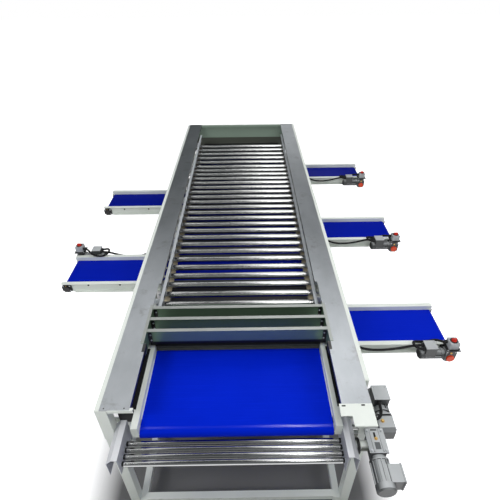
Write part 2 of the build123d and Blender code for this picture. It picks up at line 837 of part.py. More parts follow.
def transfer_gearmotor():
    """Gear unit on the drive drum's shaft with its motor along +Y; a boss seats it on the machine's side."""
    gear = Rot(0, 0, -90) * gear_body(gear_size, gear_depth, gear_size / 2, motor_lift)
    motor = Pos(0, gear_size / 2, motor_lift) * Rot(0, 0, -90) * front_motor()
    place = Pos(transfer_gear_x + gear_depth / 2, transfer_front_y, transfer_z)
    seat = rod_x(gear_boss_share * gear_size, cover_outer, transfer_gear_x, transfer_front_y, transfer_z)
    bore = rod_x(shaft_hole_radius, cover_outer - 1, transfer_gear_x, transfer_front_y, transfer_z)
    return [place * gear + seat - bore, place * motor]


def table_gearmotor():
    """Gear unit beside the table with a bolting flange on top, its motor along -Y."""
    front = table_gear_back - table_gear_length
    top = cover_top - table_gear_drop
    outer_x = table_gear_x + table_gear_width
    flange = block(table_gear_x, outer_x, front, table_gear_back, top - table_gear_flange, top)
    housing = block(table_gear_x + table_gear_inset, outer_x - table_gear_inset, front,
                    table_gear_back - table_gear_inset, top - gear_size, top)
    housing = chamfer(housing.edges().filter_by(Axis.Y).group_by(Axis.Z)[0], gear_chamfer_share * gear_size)
    place = Pos((table_gear_x + outer_x) / 2, front, table_gear_z)
    return [housing + flange, place * Rot(0, 0, 90) * Rot(90, 0, 0) * front_motor()]


def gearmotors():
    return on_driven_conveyors(cross_gearmotor()) + transfer_gearmotor() + table_gearmotor()


def shaft_caps():
    face = cross_gear_y - cross_gear_depth / 2 - gear_boss_length
    cap = rod_y(cap_radius, face - cap_length, face, cross_drive_x, cross_z)
    return on_driven_conveyors([cap])


def isolator_boxes():
    """Isolators on the brackets above the gear units."""
    box = Pos(cross_drive_x, cross_gear_y, isolator_low + isolator_height / 2) \
        * Box(isolator_width, isolator_width, isolator_height)
    return on_driven_conveyors([box])


def isolator_knob():
    """A round base with a grip across it."""
    low = isolator_top + gap
    base = extrude(RegularPolygon(knob_radius, knob_sides), knob_base)
    grip = Pos(0, 0, knob_base + knob_grip_height / 2) \
        * Box(knob_grip_length, knob_grip_width, knob_grip_height)
    return Pos(cross_drive_x, cross_gear_y, low) * (base + grip)


def table_sides():
    """Folded stainless side plates of the table and its hexagonal axles."""
    flat_end = table_plate_inner + table_plate_flat
    low = table_plate_top - table_plate_depth
    slope_low = table_plate_top - table_plate_slope
    sheet = plate_sheet
    outline = [
        (table_plate_inner, low),
        (table_plate_inner, table_plate_top),
        (flat_end, table_plate_top),
        (table_plate_outer, slope_low),
        (table_plate_outer, low),
        (table_plate_outer - sheet, low),
        (table_plate_outer - sheet, slope_low - sheet / 2),
        (flat_end - sheet / 2, table_plate_top - sheet),
        (table_plate_inner + sheet, table_plate_top - sheet),
        (table_plate_inner + sheet, low),
    ]
    plate = section_y(outline, table_plate_front, table_plate_back)
    hole = rod_x(shaft_hole_radius, table_plate_inner - 1, table_plate_outer + 1, transfer_front_y, transfer_z)
    plates = [plate - hole, mirror(plate, about=Plane.YZ)]
    axles = [hex_bar(table_axle_across_corners, table_plate_inner, y, table_roller_z) for y in table_ys]
    return [Pos(table_offset, 0, 0) * solid for solid in plates + axles]


def cord(points, diameter):
    """A cable of straight runs joined by arcs as large as the runs allow, six-sided to stay light."""
    route = [Vector(*point) for point in points]
    radii = []
    for before, corner, after in zip(route, route[1:], route[2:]):
        first, second = corner - before, after - corner
        shorter = min(first.length, second.length)
        radii.append(0.45 * shorter / tan(radians(first.get_angle(second)) / 2))
    print("cable radii", [round(radius) for radius in radii])
    path = FilletPolyline(*route, radius=radii)
    section = Plane(path @ 0, z_dir=path % 0) * RegularPolygon(diameter / 2, 6)
    return sweep(section, path=path)


motor_front = cross_drive_x - cross_gear_size / 2 - motor_neck
terminal_middle = motor_front - cross_motor_length / 2 - cross_terminal_back
terminal_face = terminal_middle - cross_terminal_length / 2
terminal_z = cross_motor_z + cross_motor_radius + terminal_height / 2
isolator_face = cross_drive_x - isolator_width / 2
isolator_gland_z = isolator_low + isolator_height / 2
feed_side = cross_terminal_width / 4
drive_terminal_face = transfer_front_y + gear_size / 2 + motor_neck + (motor_length - terminal_length) / 2
drive_terminal_z = transfer_z + motor_lift + motor_radius + terminal_height / 2
drive_gland_x = transfer_gear_x + gear_depth / 2 - drive_gland_inset
web_gland_z = beam_bottom + 2 * gland_radius


def feed_route():
    """From the terminal box along the conveyor, sagging, into the side beam."""
    start_x = terminal_face - gland_length
    end_x = half_width + gland_length
    y = cross_gear_y + feed_side
    span = start_x - end_x
    return [
        (start_x, y, terminal_z),
        (start_x - 0.10 * span, y, terminal_z - 0.07 * feed_sag),
        (start_x - 0.27 * span, y + 0.4 * feed_bow, terminal_z - 0.62 * feed_sag),
        (start_x - 0.46 * span, y + feed_bow, terminal_z - feed_sag),
        (start_x - 0.66 * span, y + 0.7 * feed_bow, terminal_z - 0.97 * feed_sag),
        (start_x - 0.84 * span, y + 0.3 * feed_bow, terminal_z - 0.38 * feed_sag),
        (end_x + 0.06 * span, y, web_gland_z - 0.03 * feed_sag),
        (end_x, y, web_gland_z),
    ]


def jumper_route(side):
    """From the isolator down beside the terminal box, over the rail and round into the second gland."""
    start_x = isolator_face - gland_length
    start_y = cross_gear_y + isolator_gland_shift
    end_x = terminal_face - gland_length
    end_y = cross_gear_y - feed_side
    far_y = cross_gear_y + side
    ease = side - right_jumper_side
    turn = (far_y - end_y) / 2
    corner = turn * tan(radians(22.5))
    turn_x = end_x - jumper_lead
    high = rail_top + cable_diameter
    return [
        (start_x, start_y, isolator_gland_z),
        (start_x - 30, start_y + 8, isolator_gland_z - 3),
        (start_x - 46 - 0.83 * ease, far_y - 2 - 0.58 * ease, isolator_gland_z - 20 + 0.17 * ease),
        (start_x - 112, far_y, high - 3),
        (start_x - 164, far_y + 4, high - 7),
        (turn_x - corner, far_y, high),
        (turn_x - turn, far_y - turn + corner, high + 15),
        (turn_x - turn, end_y + turn - corner, high + 19),
        (turn_x - corner, end_y, terminal_z + 9),
        (end_x, end_y, terminal_z),
    ]


def drive_cable_route():
    """From the transfer motor's terminal box over its gear unit and round into the side of the machine."""
    start_y = drive_terminal_face - gland_length
    end_x = cover_outer + gland_length
    start_z = drive_terminal_z
    end_z = drive_terminal_z - drive_gland_drop
    return [
        (drive_gland_x, start_y, start_z),
        (drive_gland_x - 1, start_y - 28, start_z),
        (drive_gland_x - 6, start_y - 58, start_z - 1),
        (drive_gland_x - 21, start_y - 84, start_z - 3),
        (end_x + 38, drive_gland_y + 2, end_z + 1),
        (end_x + 18, drive_gland_y, end_z),
        (end_x, drive_gland_y, end_z),
    ]


def power_cables():
    """Feed and jumper cables of the driven conveyors, the transfer motor's cable, and all their glands."""
    y = cross_gear_y
    gland = hex_nut(gland_radius, gland_length)
    inward, outward = Rot(0, -90, 0) * gland, Rot(0, 90, 0) * gland
    to_front = Rot(90, 0, 0) * gland
    glands = [
        Pos(terminal_face, y + feed_side, terminal_z) * inward,
        Pos(terminal_face, y - feed_side, terminal_z) * inward,
        Pos(isolator_face, y + isolator_gland_shift, isolator_gland_z) * inward,
        Pos(half_width, y + feed_side, web_gland_z) * outward,
    ]
    feed = cord(feed_route(), cable_diameter)
    right_jumper = cord(jumper_route(right_jumper_side), cable_diameter)
    left_jumper = cord(jumper_route(left_jumper_side), cable_diameter)
    jumpers = [place_right(right_jumper, centre) for centre in right_centres]
    jumpers.append(place_left(left_jumper, left_centres[0]))
    drive_pieces = [
        cord(drive_cable_route(), drive_cable_diameter),
        Pos(drive_gland_x, drive_terminal_face, drive_terminal_z) * to_front,
        Pos(cover_outer, drive_gland_y, drive_terminal_z - drive_gland_drop) * outward,
    ]
    return on_driven_conveyors([feed] + glands) + jumpers + drive_pieces


def nodes():
    """Every node's name and its solids."""
    made = {
        "top_covers": top_covers(),
        "side_frames": side_frames(),
        "legs": legs(),
        "painted_plates": painted_plates(),
        "baffle_plates": baffle_plates(),
        "side_bars": side_bars(),
        "roller_axles": roller_axles(),
        "friction_belts": friction_belts(),
        "friction_drive_drum": [friction_drum(friction_drum_front_y)],
        "friction_tail_drum": [friction_drum(friction_drum_back_y)],
        "conveyor_frames": conveyor_frames(),
        "conveyor_belts": conveyor_belts(),
        "transfer_drive_drum": [transfer_drum(transfer_front_y, transfer_gear_x - gap)],
        "transfer_tail_drum": [transfer_drum(transfer_back_y, transfer_rail_inner + transfer_rail_width)],
        "right_drive_drums": [place_right(cross_drum(cross_drive_x), y) for y in right_centres],
        "right_tail_drums": [place_right(cross_drum(cross_tail_x), y) for y in right_centres],
        "left_drive_drums": [place_left(cross_drum(cross_drive_x), y) for y in left_centres],
        "left_tail_drums": [place_left(cross_drum(cross_tail_x), y) for y in left_centres],
        "drum_bearings": drum_bearings(),
        "gearmotors": gearmotors(),
        "shaft_caps": shaft_caps(),
        "isolator_boxes": isolator_boxes(),
        "table_sides": table_sides(),
        "power_cables": power_cables(),
    }
    for number, solid in enumerate(on_driven_conveyors([isolator_knob()]), start=1):
        made[f"isolator_knob_{number}"] = [solid]
    for number in range(len(roller_ys)):
        made[f"grader_roller_{number + 1:02d}"] = [grader_roller(number)]
    for number in range(table_roller_count):
        made[f"table_roller_{number + 1}"] = [table_roller(number)]
    return made


os.makedirs("parts", exist_ok=True)
for name, solids in nodes().items():
    centred = [Pos(0, -middle_y, 0) * solid for solid in solids]
    export_step(Compound(children=centred), f"parts/{name}.step")
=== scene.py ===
"""Roller grader on a pale floor, seen from above its near end: finishes, fasteners, cables, light, camera.

Everything is in metres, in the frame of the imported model.
"""
import json
from math import cos, pi, radians, sin, tan

import bmesh
import bpy
from mathutils import Matrix, Vector


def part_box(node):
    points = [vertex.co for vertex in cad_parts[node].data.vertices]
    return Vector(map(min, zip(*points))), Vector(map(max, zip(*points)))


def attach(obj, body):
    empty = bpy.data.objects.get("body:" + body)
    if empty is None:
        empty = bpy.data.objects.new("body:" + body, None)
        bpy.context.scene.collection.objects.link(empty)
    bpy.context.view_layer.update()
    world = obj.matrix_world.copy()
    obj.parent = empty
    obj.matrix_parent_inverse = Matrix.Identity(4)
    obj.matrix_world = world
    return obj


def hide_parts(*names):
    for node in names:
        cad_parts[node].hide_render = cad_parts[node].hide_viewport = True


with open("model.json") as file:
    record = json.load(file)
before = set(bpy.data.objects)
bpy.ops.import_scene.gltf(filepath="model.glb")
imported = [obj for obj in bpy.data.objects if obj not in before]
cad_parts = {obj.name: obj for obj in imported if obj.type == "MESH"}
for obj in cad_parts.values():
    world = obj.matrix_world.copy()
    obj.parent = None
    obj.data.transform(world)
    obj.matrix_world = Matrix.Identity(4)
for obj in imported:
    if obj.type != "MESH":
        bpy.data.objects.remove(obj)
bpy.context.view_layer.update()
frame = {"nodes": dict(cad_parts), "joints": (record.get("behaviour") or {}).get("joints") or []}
nodes = frame["nodes"]
machine_half_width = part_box("side_frames")[1][0]
machine_half_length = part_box("top_covers")[1][1]
spins = {joint["child"]: Vector(joint["pos_m"]) for joint in frame["joints"]}

# Directions
up = (0, 0, 1)
to_right = (1, 0, 0)
to_table = (0, -1, 0)
both_sides = (-1, 1)

# Camera of the photograph
camera_place = (0.083, -3.63, 3.521)
camera_pitch = radians(36.22)
camera_roll = radians(0.55)
camera_heading = radians(0.37)
camera_lens = 28.70
camera_sensor = 36.0
camera_reach = 100


def set_camera():
    """Looks along the machine and down at the rollers."""
    forward = Vector((sin(camera_heading) * cos(camera_pitch), cos(camera_heading) * cos(camera_pitch),
                      -sin(camera_pitch)))
    level = Vector((cos(camera_heading), -sin(camera_heading), 0))
    sunk = forward.cross(level)
    right = cos(camera_roll) * level + sin(camera_roll) * sunk
    down = cos(camera_roll) * sunk - sin(camera_roll) * level
    data = bpy.data.cameras.new("camera")
    data.lens = camera_lens
    data.sensor_width = camera_sensor
    data.sensor_fit = "HORIZONTAL"
    data.clip_end = camera_reach
    camera = bpy.data.objects.new("camera", data)
    turn = Matrix((right, -down, -forward)).transposed().to_4x4()
    camera.matrix_world = Matrix.Translation(camera_place) @ turn
    bpy.context.scene.collection.objects.link(camera)
    bpy.context.scene.camera = camera


# Colour sockets of a mix node, by number
mix_first = 6
mix_second = 7
mix_result = 2


def new_material(name):
    """An empty principled material, its shader and its node tree."""
    material = bpy.data.materials.new(name)
    material.use_nodes = True
    tree = material.node_tree
    return material, tree.nodes["Principled BSDF"], tree


def add_node(tree, kind, **values):
    node = tree.nodes.new(kind)
    for key, value in values.items():
        setattr(node, key, value)
    return node


def noise(tree, scale, stretch=(1, 1, 1), detail=4.0, roughness=0.55):
    """Noise in object space, in metres, drawn out by the stretch on each axis."""
    place = add_node(tree, "ShaderNodeTexCoord")
    mapping = add_node(tree, "ShaderNodeMapping")
    mapping.inputs["Scale"].default_value = stretch
    texture = add_node(tree, "ShaderNodeTexNoise")
    texture.inputs["Scale"].default_value = scale
    texture.inputs["Detail"].default_value = detail
    texture.inputs["Roughness"].default_value = roughness
    tree.links.new(place.outputs["Object"], mapping.inputs["Vector"])
    tree.links.new(mapping.outputs["Vector"], texture.inputs["Vector"])
    return texture.outputs["Fac"]


def ramp(tree, factor, stops):
    """Colours by a factor; stops are (place, colour)."""
    node = add_node(tree, "ShaderNodeValToRGB")
    elements = node.color_ramp.elements
    while len(elements) < len(stops):
        elements.new(0.5)
    for element, (place, colour) in zip(elements, stops):
        element.position = place
        element.color = (*colour, 1)
    tree.links.new(factor, node.inputs["Fac"])
    return node.outputs["Color"]


def spread(tree, factor, low, high, start=0.3, end=0.7):
    """A number that goes from low to high while a factor goes from start to end."""
    node = add_node(tree, "ShaderNodeMapRange")
    node.inputs["From Min"].default_value = start
    node.inputs["From Max"].default_value = end
    node.inputs["To Min"].default_value = low
    node.inputs["To Max"].default_value = high
    tree.links.new(factor, node.inputs["Value"])
    return node.outputs["Result"]


def blend_colour(tree, factor, first, second):
    node = add_node(tree, "ShaderNodeMix", data_type="RGBA")
    tree.links.new(factor, node.inputs["Factor"])
    tree.links.new(first, node.inputs[mix_first])
    tree.links.new(second, node.inputs[mix_second])
    return node.outputs[mix_result]


def over(tree, factor, plain, colour):
    """A plain colour that gives way to another colour by a factor."""
    node = add_node(tree, "ShaderNodeMix", data_type="RGBA")
    node.inputs[mix_first].default_value = (*plain, 1)
    tree.links.new(factor, node.inputs["Factor"])
    tree.links.new(colour, node.inputs[mix_second])
    return node.outputs[mix_result]


def join(tree, operation, first, second):
    """The larger of two numbers, their product or another operation on them."""
    node = add_node(tree, "ShaderNodeMath", operation=operation)
    tree.links.new(first, node.inputs[0])
    tree.links.new(second, node.inputs[1])
    return node.outputs[0]


def larger(tree, first, second):
    return join(tree, "MAXIMUM", first, second)


def bump(tree, shader, height, strength, distance):
    node = add_node(tree, "ShaderNodeBump")
    node.inputs["Strength"].default_value = strength
    node.inputs["Distance"].default_value = distance
    tree.links.new(height, node.inputs["Height"])
    tree.links.new(node.outputs["Normal"], shader.inputs["Normal"])


def facing(tree, axis, start, end):
    """0 to 1 while a surface turns from one direction to another, by its normal's X, Y or Z."""
    surface = add_node(tree, "ShaderNodeNewGeometry")
    split = add_node(tree, "ShaderNodeSeparateXYZ")
    tree.links.new(surface.outputs["Normal"], split.inputs["Vector"])
    return spread(tree, split.outputs[axis], 0.0, 1.0, start, end)


def upward(tree, start=0.3, end=0.9):
    """1 on faces that look up, 0 on walls and undersides."""
    return facing(tree, "Z", start, end)


def off_table(tree):
    """0 on faces that look to the table at the near end, 1 on the others."""
    return facing(tree, "Y", -0.9, -0.5)


def place_along(tree, axis, low, high, start, end):
    """A number from low to high by a point's own X, Y or Z, in metres."""
    place = add_node(tree, "ShaderNodeTexCoord")
    split = add_node(tree, "ShaderNodeSeparateXYZ")
    tree.links.new(place.outputs["Object"], split.inputs["Vector"])
    return spread(tree, split.outputs[axis], low, high, start, end)


def from_middle(tree):
    """A point's own X, Y and Z without their signs, in metres."""
    place = add_node(tree, "ShaderNodeTexCoord")
    apart = add_node(tree, "ShaderNodeVectorMath", operation="ABSOLUTE")
    tree.links.new(place.outputs["Object"], apart.inputs[0])
    return apart.outputs[0]


def under_rollers(tree, near_zone):
    """0 under the rollers, where shade is painted, rising to 1 beside the machine and at its near end."""
    split = add_node(tree, "ShaderNodeSeparateXYZ")
    tree.links.new(from_middle(tree), split.inputs["Vector"])
    aside = spread(tree, split.outputs["X"], 0.0, 1.0, *aside_zone)
    near = place_along(tree, "Y", 1.0, 0.0, *near_zone)
    return larger(tree, aside, near)


def toned(colour, gain, lift=0.0):
    return tuple(min(1, gain * part + lift) for part in colour)


# Materials
streak_tone = 0.82
skin_tone = 0.75
scuff_gain = 1.5
scuff_lift = 0.01
line_depth = 0.0006
peel_depth = 0.0004
belt_depth = 0.0005
skin_depth = 0.0003

# Zones of painted shade, in metres: heights, distances from the middle and places along the machine
deep_zone = (1.262, 1.276)
aside_zone = (0.66, 0.78)
belt_shade_zone = (-1.0, 0.6)
mouth_zone = (-1.70, -1.66)
far_zone = (-2.1, 1.2)
rear_zone = (2.50, 2.58)
low_zone = (1.19, 1.195)

# The transfer belt is worn shiny where it bends round its near drum
bend_start = (-2.279, -2.273)
bend_end = (-2.293, -2.287)
bend_roughness = 0.16


def brushed_metal(name, dark, light, grain, rough, wall=None, shade_under_rollers=None, metallic=1.0, relief=0.08,
                  smudge=None):
    """Bare sheet with brush lines along one axis, cloudy tone and uneven gloss.

    wall is painted shade on upright faces, the colour under the rollers is painted shade on what lies deep
    under the rollers, and smudge is the colour of handling marks."""
    material, shader, tree = new_material(name)
    shader.inputs["Metallic"].default_value = metallic
    lines = noise(tree, 1.0, grain, detail=6.0, roughness=0.7)
    clouds = noise(tree, 2.3, (1.6, 1, 1.6), detail=5.0)
    mottled = ramp(tree, clouds, [(0.3, dark), (0.7, light)])
    streaks = ramp(tree, lines, [(0.25, toned(light, streak_tone)), (0.75, light)])
    colour = blend_colour(tree, spread(tree, lines, 0.15, 0.45), mottled, streaks)
    if smudge:
        marks = noise(tree, 6.5, detail=9.0, roughness=0.72)
        clean = spread(tree, marks, 1.0, 0.35, start=0.56, end=0.70)
        colour = over(tree, clean, smudge, colour)
    # Painted shade: upright faces take the darker wall colour.
    if wall:
        colour = over(tree, upward(tree), wall, colour)
    # Painted shade: what lies below the deep zone, under the rollers, turns dark.
    if shade_under_rollers:
        colour = over(tree, place_along(tree, "Z", 0.0, 1.0, *deep_zone), shade_under_rollers, colour)
    tree.links.new(colour, shader.inputs["Base Color"])
    tree.links.new(spread(tree, lines, *rough), shader.inputs["Roughness"])
    bump(tree, shader, lines, relief, line_depth)
    return material


def painted_metal(name, colour, shade, rough, peel=0.05, wall=None, rear_face_shade=None, low=None, shade_under_rollers=None):
    """Powder coat with fine orange peel.

    wall is painted shade on upright faces; the rear and low colours are painted shade on the faces that look
    to the table at the far end and low down; the colour under the rollers is painted shade there."""
    material, shader, tree = new_material(name)
    clouds = noise(tree, 3.1, detail=5.0)
    coat = ramp(tree, clouds, [(0.3, shade), (0.62, colour)])
    # Painted shade: upright faces take the darker wall colour.
    if wall:
        coat = over(tree, upward(tree, start=0.5, end=0.97), wall, coat)
    # Painted shade: faces that look to the table at the far end take the darker rear colour.
    if rear_face_shade:
        ahead = place_along(tree, "Y", 1.0, 0.0, *rear_zone)
        coat = over(tree, larger(tree, ahead, off_table(tree)), rear_face_shade, coat)
    # Painted shade: low faces that look to the table take the dark low colour.
    if low:
        above = place_along(tree, "Z", 0.0, 1.0, *low_zone)
        coat = over(tree, larger(tree, above, off_table(tree)), low, coat)
    # Painted shade: what lies under the rollers turns dark.
    if shade_under_rollers:
        coat = over(tree, under_rollers(tree, mouth_zone), shade_under_rollers, coat)
    tree.links.new(coat, shader.inputs["Base Color"])
    tree.links.new(spread(tree, clouds, rough + 0.08, rough), shader.inputs["Roughness"])
    bump(tree, shader, noise(tree, 420.0, detail=2.0), peel, peel_depth)
    return material


def belt_material(name, dark, light, rough, grain, gloss, sheen, far, shade_under_rollers):
    """Smooth belt cover with faint scuffs.

    far and the colour under the rollers are painted shade: its darker colours far off and under the rollers.
    """
    material, shader, tree = new_material(name)
    shader.inputs["Specular IOR Level"].default_value = gloss
    shader.inputs["Specular Tint"].default_value = (*sheen, 1)
    clouds = noise(tree, 2.0, detail=4.0)
    scuffs = noise(tree, 1.0, grain, detail=5.0, roughness=0.65)
    base = ramp(tree, clouds, [(0.3, dark), (0.7, light)])
    worn = ramp(tree, scuffs, [(0.45, dark), (0.9, toned(light, scuff_gain, scuff_lift))])
    colour = blend_colour(tree, spread(tree, scuffs, 0.0, 0.35), base, worn)
    # Painted shade: the belts grow darker towards the far end.
    colour = over(tree, place_along(tree, "Y", 1.0, 0.0, *far_zone), far, colour)
    # Painted shade: the belts turn dark under the rollers.
    colour = over(tree, under_rollers(tree, belt_shade_zone), shade_under_rollers, colour)
    behind = place_along(tree, "Y", 0.0, 1.0, *bend_start)
    ahead = place_along(tree, "Y", 1.0, 0.0, *bend_end)
    shine = spread(tree, larger(tree, behind, ahead), 1.0, 0.0, start=0.0, end=1.0)
    tree.links.new(shine, shader.inputs["Coat Weight"])
    shader.inputs["Coat Roughness"].default_value = bend_roughness
    tree.links.new(colour, shader.inputs["Base Color"])
    tree.links.new(spread(tree, scuffs, rough, rough + 0.15), shader.inputs["Roughness"])
    bump(tree, shader, noise(tree, 300.0, detail=3.0), 0.05, belt_depth)
    return material


def plastic_material(name, colour, rough, metallic=0.0, gloss=0.5):
    """Moulded plastic, enamel or small metal parts, with a fine skin and slight unevenness."""
    material, shader, tree = new_material(name)
    shader.inputs["Metallic"].default_value = metallic
    shader.inputs["Specular IOR Level"].default_value = gloss
    clouds = noise(tree, 25.0, detail=4.0)
    skin = ramp(tree, clouds, [(0.3, toned(colour, skin_tone)), (0.65, colour)])
    tree.links.new(skin, shader.inputs["Base Color"])
    tree.links.new(spread(tree, clouds, rough + 0.1, rough), shader.inputs["Roughness"])
    bump(tree, shader, noise(tree, 700.0, detail=2.0), 0.08, skin_depth)
    return material


# Brush lines per metre on each axis: along the machine, across it, round a roller and on plating
along_grain = (380, 5, 380)
across_grain = (5, 380, 380)
roller_grain = (30, 3, 3)
plating_grain = (120, 60, 120)
coat_colour = (0.84, 0.88, 0.83)
coat_shade = (0.78, 0.82, 0.77)
coat_roughness = 0.38

# Wall colours here are painted shade on upright faces; the cross sheet's colour under the rollers is too.
stainless = brushed_metal("stainless_sheet", (0.37, 0.39, 0.41), (0.52, 0.545, 0.57), along_grain,
                          (0.28, 0.42), wall=(0.10, 0.10, 0.11), smudge=(0.27, 0.265, 0.265))
cross_stainless = brushed_metal("cross_stainless", (0.36, 0.38, 0.36), (0.46, 0.48, 0.46), across_grain,
                                (0.38, 0.50), wall=(0.26, 0.39, 0.27), shade_under_rollers=(0.03, 0.03, 0.035),
                                metallic=0.8)
satin_sheet = brushed_metal("satin_sheet", (0.74, 0.75, 0.78), (0.82, 0.83, 0.86), along_grain,
                            (0.40, 0.52), wall=(0.43, 0.44, 0.50), metallic=0.1)
zinc = brushed_metal("zinc_plate", (0.80, 0.84, 0.88), (0.88, 0.92, 0.96), plating_grain, (0.42, 0.56),
                     metallic=0.1)
polished = brushed_metal("polished_steel", (0.53, 0.535, 0.53), (0.58, 0.585, 0.58), roller_grain,
                         (0.17, 0.21), relief=0.002)
dull_steel = brushed_metal("dull_steel", (0.42, 0.425, 0.425), (0.46, 0.465, 0.465), roller_grain,
                           (0.11, 0.15), relief=0.002)
white_paint = painted_metal("white_paint", coat_colour, coat_shade, coat_roughness)
# The rail paint's colour under the rollers and the plate paint's rear and low colours are painted shade.
rail_paint = painted_metal("rail_paint", coat_colour, coat_shade, coat_roughness, shade_under_rollers=(0.05, 0.055, 0.05))
plate_paint = painted_metal("plate_paint", coat_colour, coat_shade, coat_roughness, rear_face_shade=(0.33, 0.43, 0.35),
                            low=(0.10, 0.11, 0.09))
# The grey paint's wall colour is painted shade on the gear motors' upright faces.
grey_paint = painted_metal("grey_paint", (0.49, 0.51, 0.52), (0.42, 0.44, 0.45), 0.42, peel=0.1,
                           wall=(0.045, 0.048, 0.05))
# The belts' far colours and colours under the rollers are painted shade.
blue_belt = belt_material("blue_belt", (0.0005, 0.015, 0.54), (0.001, 0.019, 0.64), 0.28, (3, 160, 3), 0.05,
                          (0.05, 0.25, 1.0), far=(0.001, 0.006, 0.23), shade_under_rollers=(0.002, 0.004, 0.05))
cream_belt = belt_material("cream_belt", (0.66, 0.57, 0.40), (0.80, 0.71, 0.52), 0.55, (60, 4, 60), 0.3,
                           (1, 1, 1), far=(0.34, 0.29, 0.20), shade_under_rollers=(0.12, 0.10, 0.07))
black_plastic = plastic_material("black_plastic", (0.018, 0.018, 0.019), 0.45, gloss=0.3)
grey_plastic = plastic_material("grey_plastic", (0.50, 0.52, 0.54), 0.42)
red_plastic = plastic_material("red_plastic", (0.72, 0.035, 0.018), 0.38)
orange_plastic = plastic_material("orange_plastic", (0.90, 0.075, 0.018), 0.45)
cable_jacket = plastic_material("cable_jacket", (0.012, 0.012, 0.013), 0.5, gloss=0.2)
brass = plastic_material("brass", (0.72, 0.47, 0.16), 0.28, metallic=1.0)
dark_steel = plastic_material("dark_steel", (0.10, 0.10, 0.10), 0.4, metallic=1.0)
slate_plate = plastic_material("slate_plate", (0.11, 0.12, 0.125), 0.4)
zinc_bolt = plastic_material("zinc_bolt", (0.66, 0.70, 0.76), 0.35, metallic=0.8)
bolt_steel = plastic_material("bolt_steel", (0.62, 0.64, 0.66), 0.28, metallic=1.0)

finishes = {
    "top_covers": stainless, "side_frames": white_paint, "legs": white_paint, "painted_plates": plate_paint,
    "baffle_plates": cross_stainless, "side_bars": zinc, "roller_axles": bolt_steel,
    "friction_belts": cream_belt, "conveyor_frames": rail_paint, "conveyor_belts": blue_belt,
    "drum_bearings": black_plastic, "gearmotors": grey_paint, "shaft_caps": orange_plastic,
    "isolator_boxes": grey_plastic, "table_sides": satin_sheet, "power_cables": cable_jacket,
}
sharp_angle = radians(30)


def finish_of(name):
    if name.startswith("isolator_knob"):
        return red_plastic
    if name.startswith("table_roller"):
        return dull_steel
    return finishes.get(name, polished)


def smooth(mesh):
    """Shades round faces smoothly and keeps the edges sharp."""
    mesh.polygons.foreach_set("use_smooth", [True] * len(mesh.polygons))
    mesh.set_sharp_from_angle(angle=sharp_angle)


def dress_nodes():
    """Each CAD node gets its finish and smooth round faces."""
    for name, node in nodes.items():
        node.data.materials.clear()
        node.data.materials.append(finish_of(name))
        smooth(node.data)


# Places: x and z as in the frame, y measured from the near end of the covers
near_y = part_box("top_covers")[0][1]
far_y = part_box("top_covers")[1][1]
cover_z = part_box("top_covers")[1][2]
right_centres = (0.974, 2.426, 3.923)
driven_left_centre = 1.747
plain_left_centre = 3.170
driven = [(1, centre) for centre in right_centres] + [(-1, driven_left_centre)]
conveyors = driven + [(-1, plain_left_centre)]


def at(x, y, z):
    return Vector((x, near_y + y, z))


def beside(conveyor, x, y, z):
    """A place on a cross conveyor: x outward from the machine's middle, y across it to its far rail."""
    side, centre = conveyor
    return at(side * x, centre + side * y, z)


def heading(conveyor, x, y, z):
    """A direction on a cross conveyor."""
    side = conveyor[0]
    return Vector((side * x, side * y, z))


def pairs(first, second):
    return [(a, b) for a in first for b in second]


def around(middle, distance):
    return (middle - distance, middle + distance)


def inset(span, distance):
    """The two ends of a span, each moved inward."""
    low, high = span
    return (low + distance, high - distance)


# Profiles of fastener heads, as (radius, height) in shares of the head's radius
washer_profile = ((0, 0), (1.35, 0), (1.35, 0.22), (0, 0.22))
head_profile = ((0, 0), (1, 0), (1, 0.6), (0.86, 0.75), (0, 0.75))
socket_profile = ((0, 0), (1, 0), (0.95, 0.35), (0.65, 0.65), (0.38, 0.68), (0.34, 0.3), (0, 0.3))
hexagon = 6
screw_sides = 16
washer_sides = 20
collar_sides = 28
cap_sides = 32
broken_edge = 0.2
arc_points = 9
least_thickness = 1e-5


def turned(shape, place, axis, profile, sides, closed=False):
    """Adds a turned form to a mesh; the profile's points are (radius, distance along the axis)."""
    turn = Vector(up).rotation_difference(Vector(axis)).to_matrix().to_4x4()
    spot = Matrix.Translation(place) @ turn
    rings = []
    for radius, along in profile:
        count = sides if radius else 1
        angles = [2 * pi * (i + 0.5) / sides for i in range(count)]
        points = [Vector((radius * cos(a), radius * sin(a), along)) for a in angles]
        rings.append([shape.verts.new(spot @ point) for point in points])
    following = rings[1:] + rings[:1] if closed else rings[1:]
    for low, high in zip(rings, following):
        for i in range(sides):
            j = (i + 1) % sides
            corners = (low[i % len(low)], low[j % len(low)], high[j % len(high)], high[i % len(high)])
            shape.faces.new(list(dict.fromkeys(corners)))


def collar(shape, place, axis, inner, outer, height):
    """Adds a flat ring with a broken outer edge."""
    edge = broken_edge * height
    profile = [(inner, 0), (outer, 0), (outer, height - edge), (outer - edge, height), (inner, height)]
    turned(shape, place, axis, profile, collar_sides, closed=True)


def scaled(profile, radius):
    return [(across * radius, height * radius) for across, height in profile]


def hex_bolt(shape, place, axis, radius):
    """Adds a hexagon head on its washer; radius is half the width across corners."""
    washer = scaled(washer_profile, radius)
    turned(shape, place, axis, washer, washer_sides)
    washer_top = washer[-1][1]
    turned(shape, Vector(place) + washer_top * Vector(axis), axis, scaled(head_profile, radius), hexagon)


def socket_screw(shape, place, axis, radius):
    """Adds a domed screw head with a socket."""
    turned(shape, place, axis, scaled(socket_profile, radius), screw_sides)


def slab(shape, low, high):
    """Adds a box between two corners."""
    low, high = Vector(low), Vector(high)
    size = [max(abs(b - a), least_thickness) for a, b in zip(low, high)]
    spot = Matrix.Translation((low + high) / 2) @ Matrix.Diagonal((*size, 1))
    bmesh.ops.create_cube(shape, size=1, matrix=spot)


